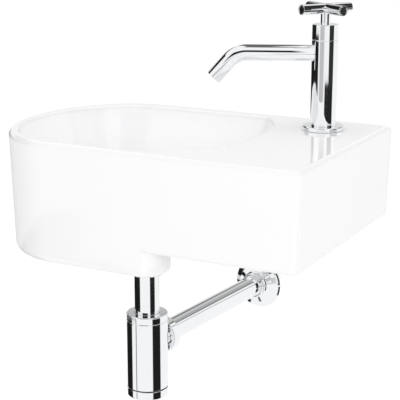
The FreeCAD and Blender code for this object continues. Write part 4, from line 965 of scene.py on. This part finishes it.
def makeWorld():
    world = bpy.data.worlds.new("whiteRoom")
    world.use_nodes = True
    bpy.context.scene.world = world
    tree = world.node_tree
    background = tree.nodes["Background"]
    turned = setInputs(tree, addNode(tree, "ShaderNodeMapping"), {
        "Vector": addNode(tree, "ShaderNodeTexCoord").outputs["Generated"],
        "Rotation": (0, 0, -math.radians(view["azimuth"]))})
    way = setInputs(tree, addNode(tree, "ShaderNodeSeparateXYZ"), {"Vector": turned.outputs["Vector"]})
    towards = addMath(tree, "MULTIPLY", way.outputs["Y"], -1.0)
    angle = addMath(tree, "DEGREES", addMath(tree, "ARCTAN2", way.outputs["X"], towards))
    behind = addMath(tree, "ABSOLUTE", angle)
    height = addMath(tree, "DEGREES", addMath(tree, "ARCSINE", way.outputs["Z"]))
    reflected = 1.0
    for (first, last, soft), (lowest, highest, softHeight), tone in reflectedZones:
        around = behind if last > allRound else angle  # a zone across the back is the same on both sides
        mask = bandMask(tree, around, first, last, soft)
        mask = addMath(tree, "MULTIPLY", mask, bandMask(tree, height, lowest, highest, softHeight))
        reflected = addMix(tree, mask, reflected, tone)
    light = addNode(tree, "ShaderNodeLightPath")
    upward = addRange(tree, way.outputs["Z"], 0.0, 1.0, kind="SMOOTHSTEP")
    overhead = addMix(tree, upward, stage["sideLevel"], stage["topLevel"])
    strength = addMix(tree, light.outputs["Is Glossy Ray"], overhead, reflected)
    direct = addMath(tree, "MAXIMUM", light.outputs["Is Camera Ray"], light.outputs["Is Transmission Ray"])
    setInputs(tree, background, {"Color": (1, 1, 1, 1), "Strength": addMix(tree, direct, strength, 1.0)})


def makeFloor():
    mesh = bpy.data.meshes.new("floor")
    reach, level = stage["floorReach"], stage["floor"]
    corners = [(-reach, -reach, level), (reach, -reach, level), (reach, reach, level), (-reach, reach, level)]
    mesh.from_pydata(corners, [], [(0, 1, 2, 3)])
    floor = bpy.data.objects.new("floor", mesh)
    material = bpy.data.materials.new("floorWhite")
    material.use_nodes = True
    tree = material.node_tree
    tree.nodes.remove(tree.nodes["Principled BSDF"])
    light = addNode(tree, "ShaderNodeLightPath", -500)
    direct = addMath(tree, "MAXIMUM", light.outputs["Is Camera Ray"], light.outputs["Is Transmission Ray"])
    glow = setInputs(tree, addNode(tree, "ShaderNodeEmission", -100, -100), {
        "Strength": addMath(tree, "MULTIPLY", direct, stage["floorGlow"])})
    matte = setInputs(tree, addNode(tree, "ShaderNodeBsdfDiffuse", -100, 100), {"Color": stage["floorTone"]})
    both = setInputs(tree, addNode(tree, "ShaderNodeAddShader", 150), {
        0: matte.outputs["BSDF"], 1: glow.outputs["Emission"]})
    setInputs(tree, tree.nodes["Material Output"], {"Surface": both.outputs["Shader"]})
    mesh.materials.append(material)
    bpy.context.scene.collection.objects.link(floor)
    floor.visible_glossy = False  # polished surfaces see the surround's own white below the horizon


lamps = [
    {"name": "frontSoftbox", "power": 9.4, "width": 1.8, "height": 1.4, "place": Vector((1.3, -1.9, 0.7))},
    {"name": "topSoftbox", "power": 2.6, "width": 1.0, "height": 0.7, "place": Vector((-0.05, -0.2, 1.3))},
]
lampAim = Vector((-0.05, -0.15, 0.02))


def makeLamp(lamp):
    data = bpy.data.lights.new(lamp["name"], "AREA")
    data.shape = "RECTANGLE"
    data.size = lamp["width"]
    data.size_y = lamp["height"]
    data.energy = lamp["power"]
    light = bpy.data.objects.new(lamp["name"], data)
    turn = (lampAim - lamp["place"]).to_track_quat("-Z", "Y").to_matrix().to_4x4()
    light.matrix_world = Matrix.Translation(lamp["place"]) @ turn
    light.visible_glossy = False
    bpy.context.scene.collection.objects.link(light)


makeWorld()
makeFloor()
for lamp in lamps:
    makeLamp(lamp)
bpy.context.scene.view_settings.view_transform = "Standard"
print("stage ready")
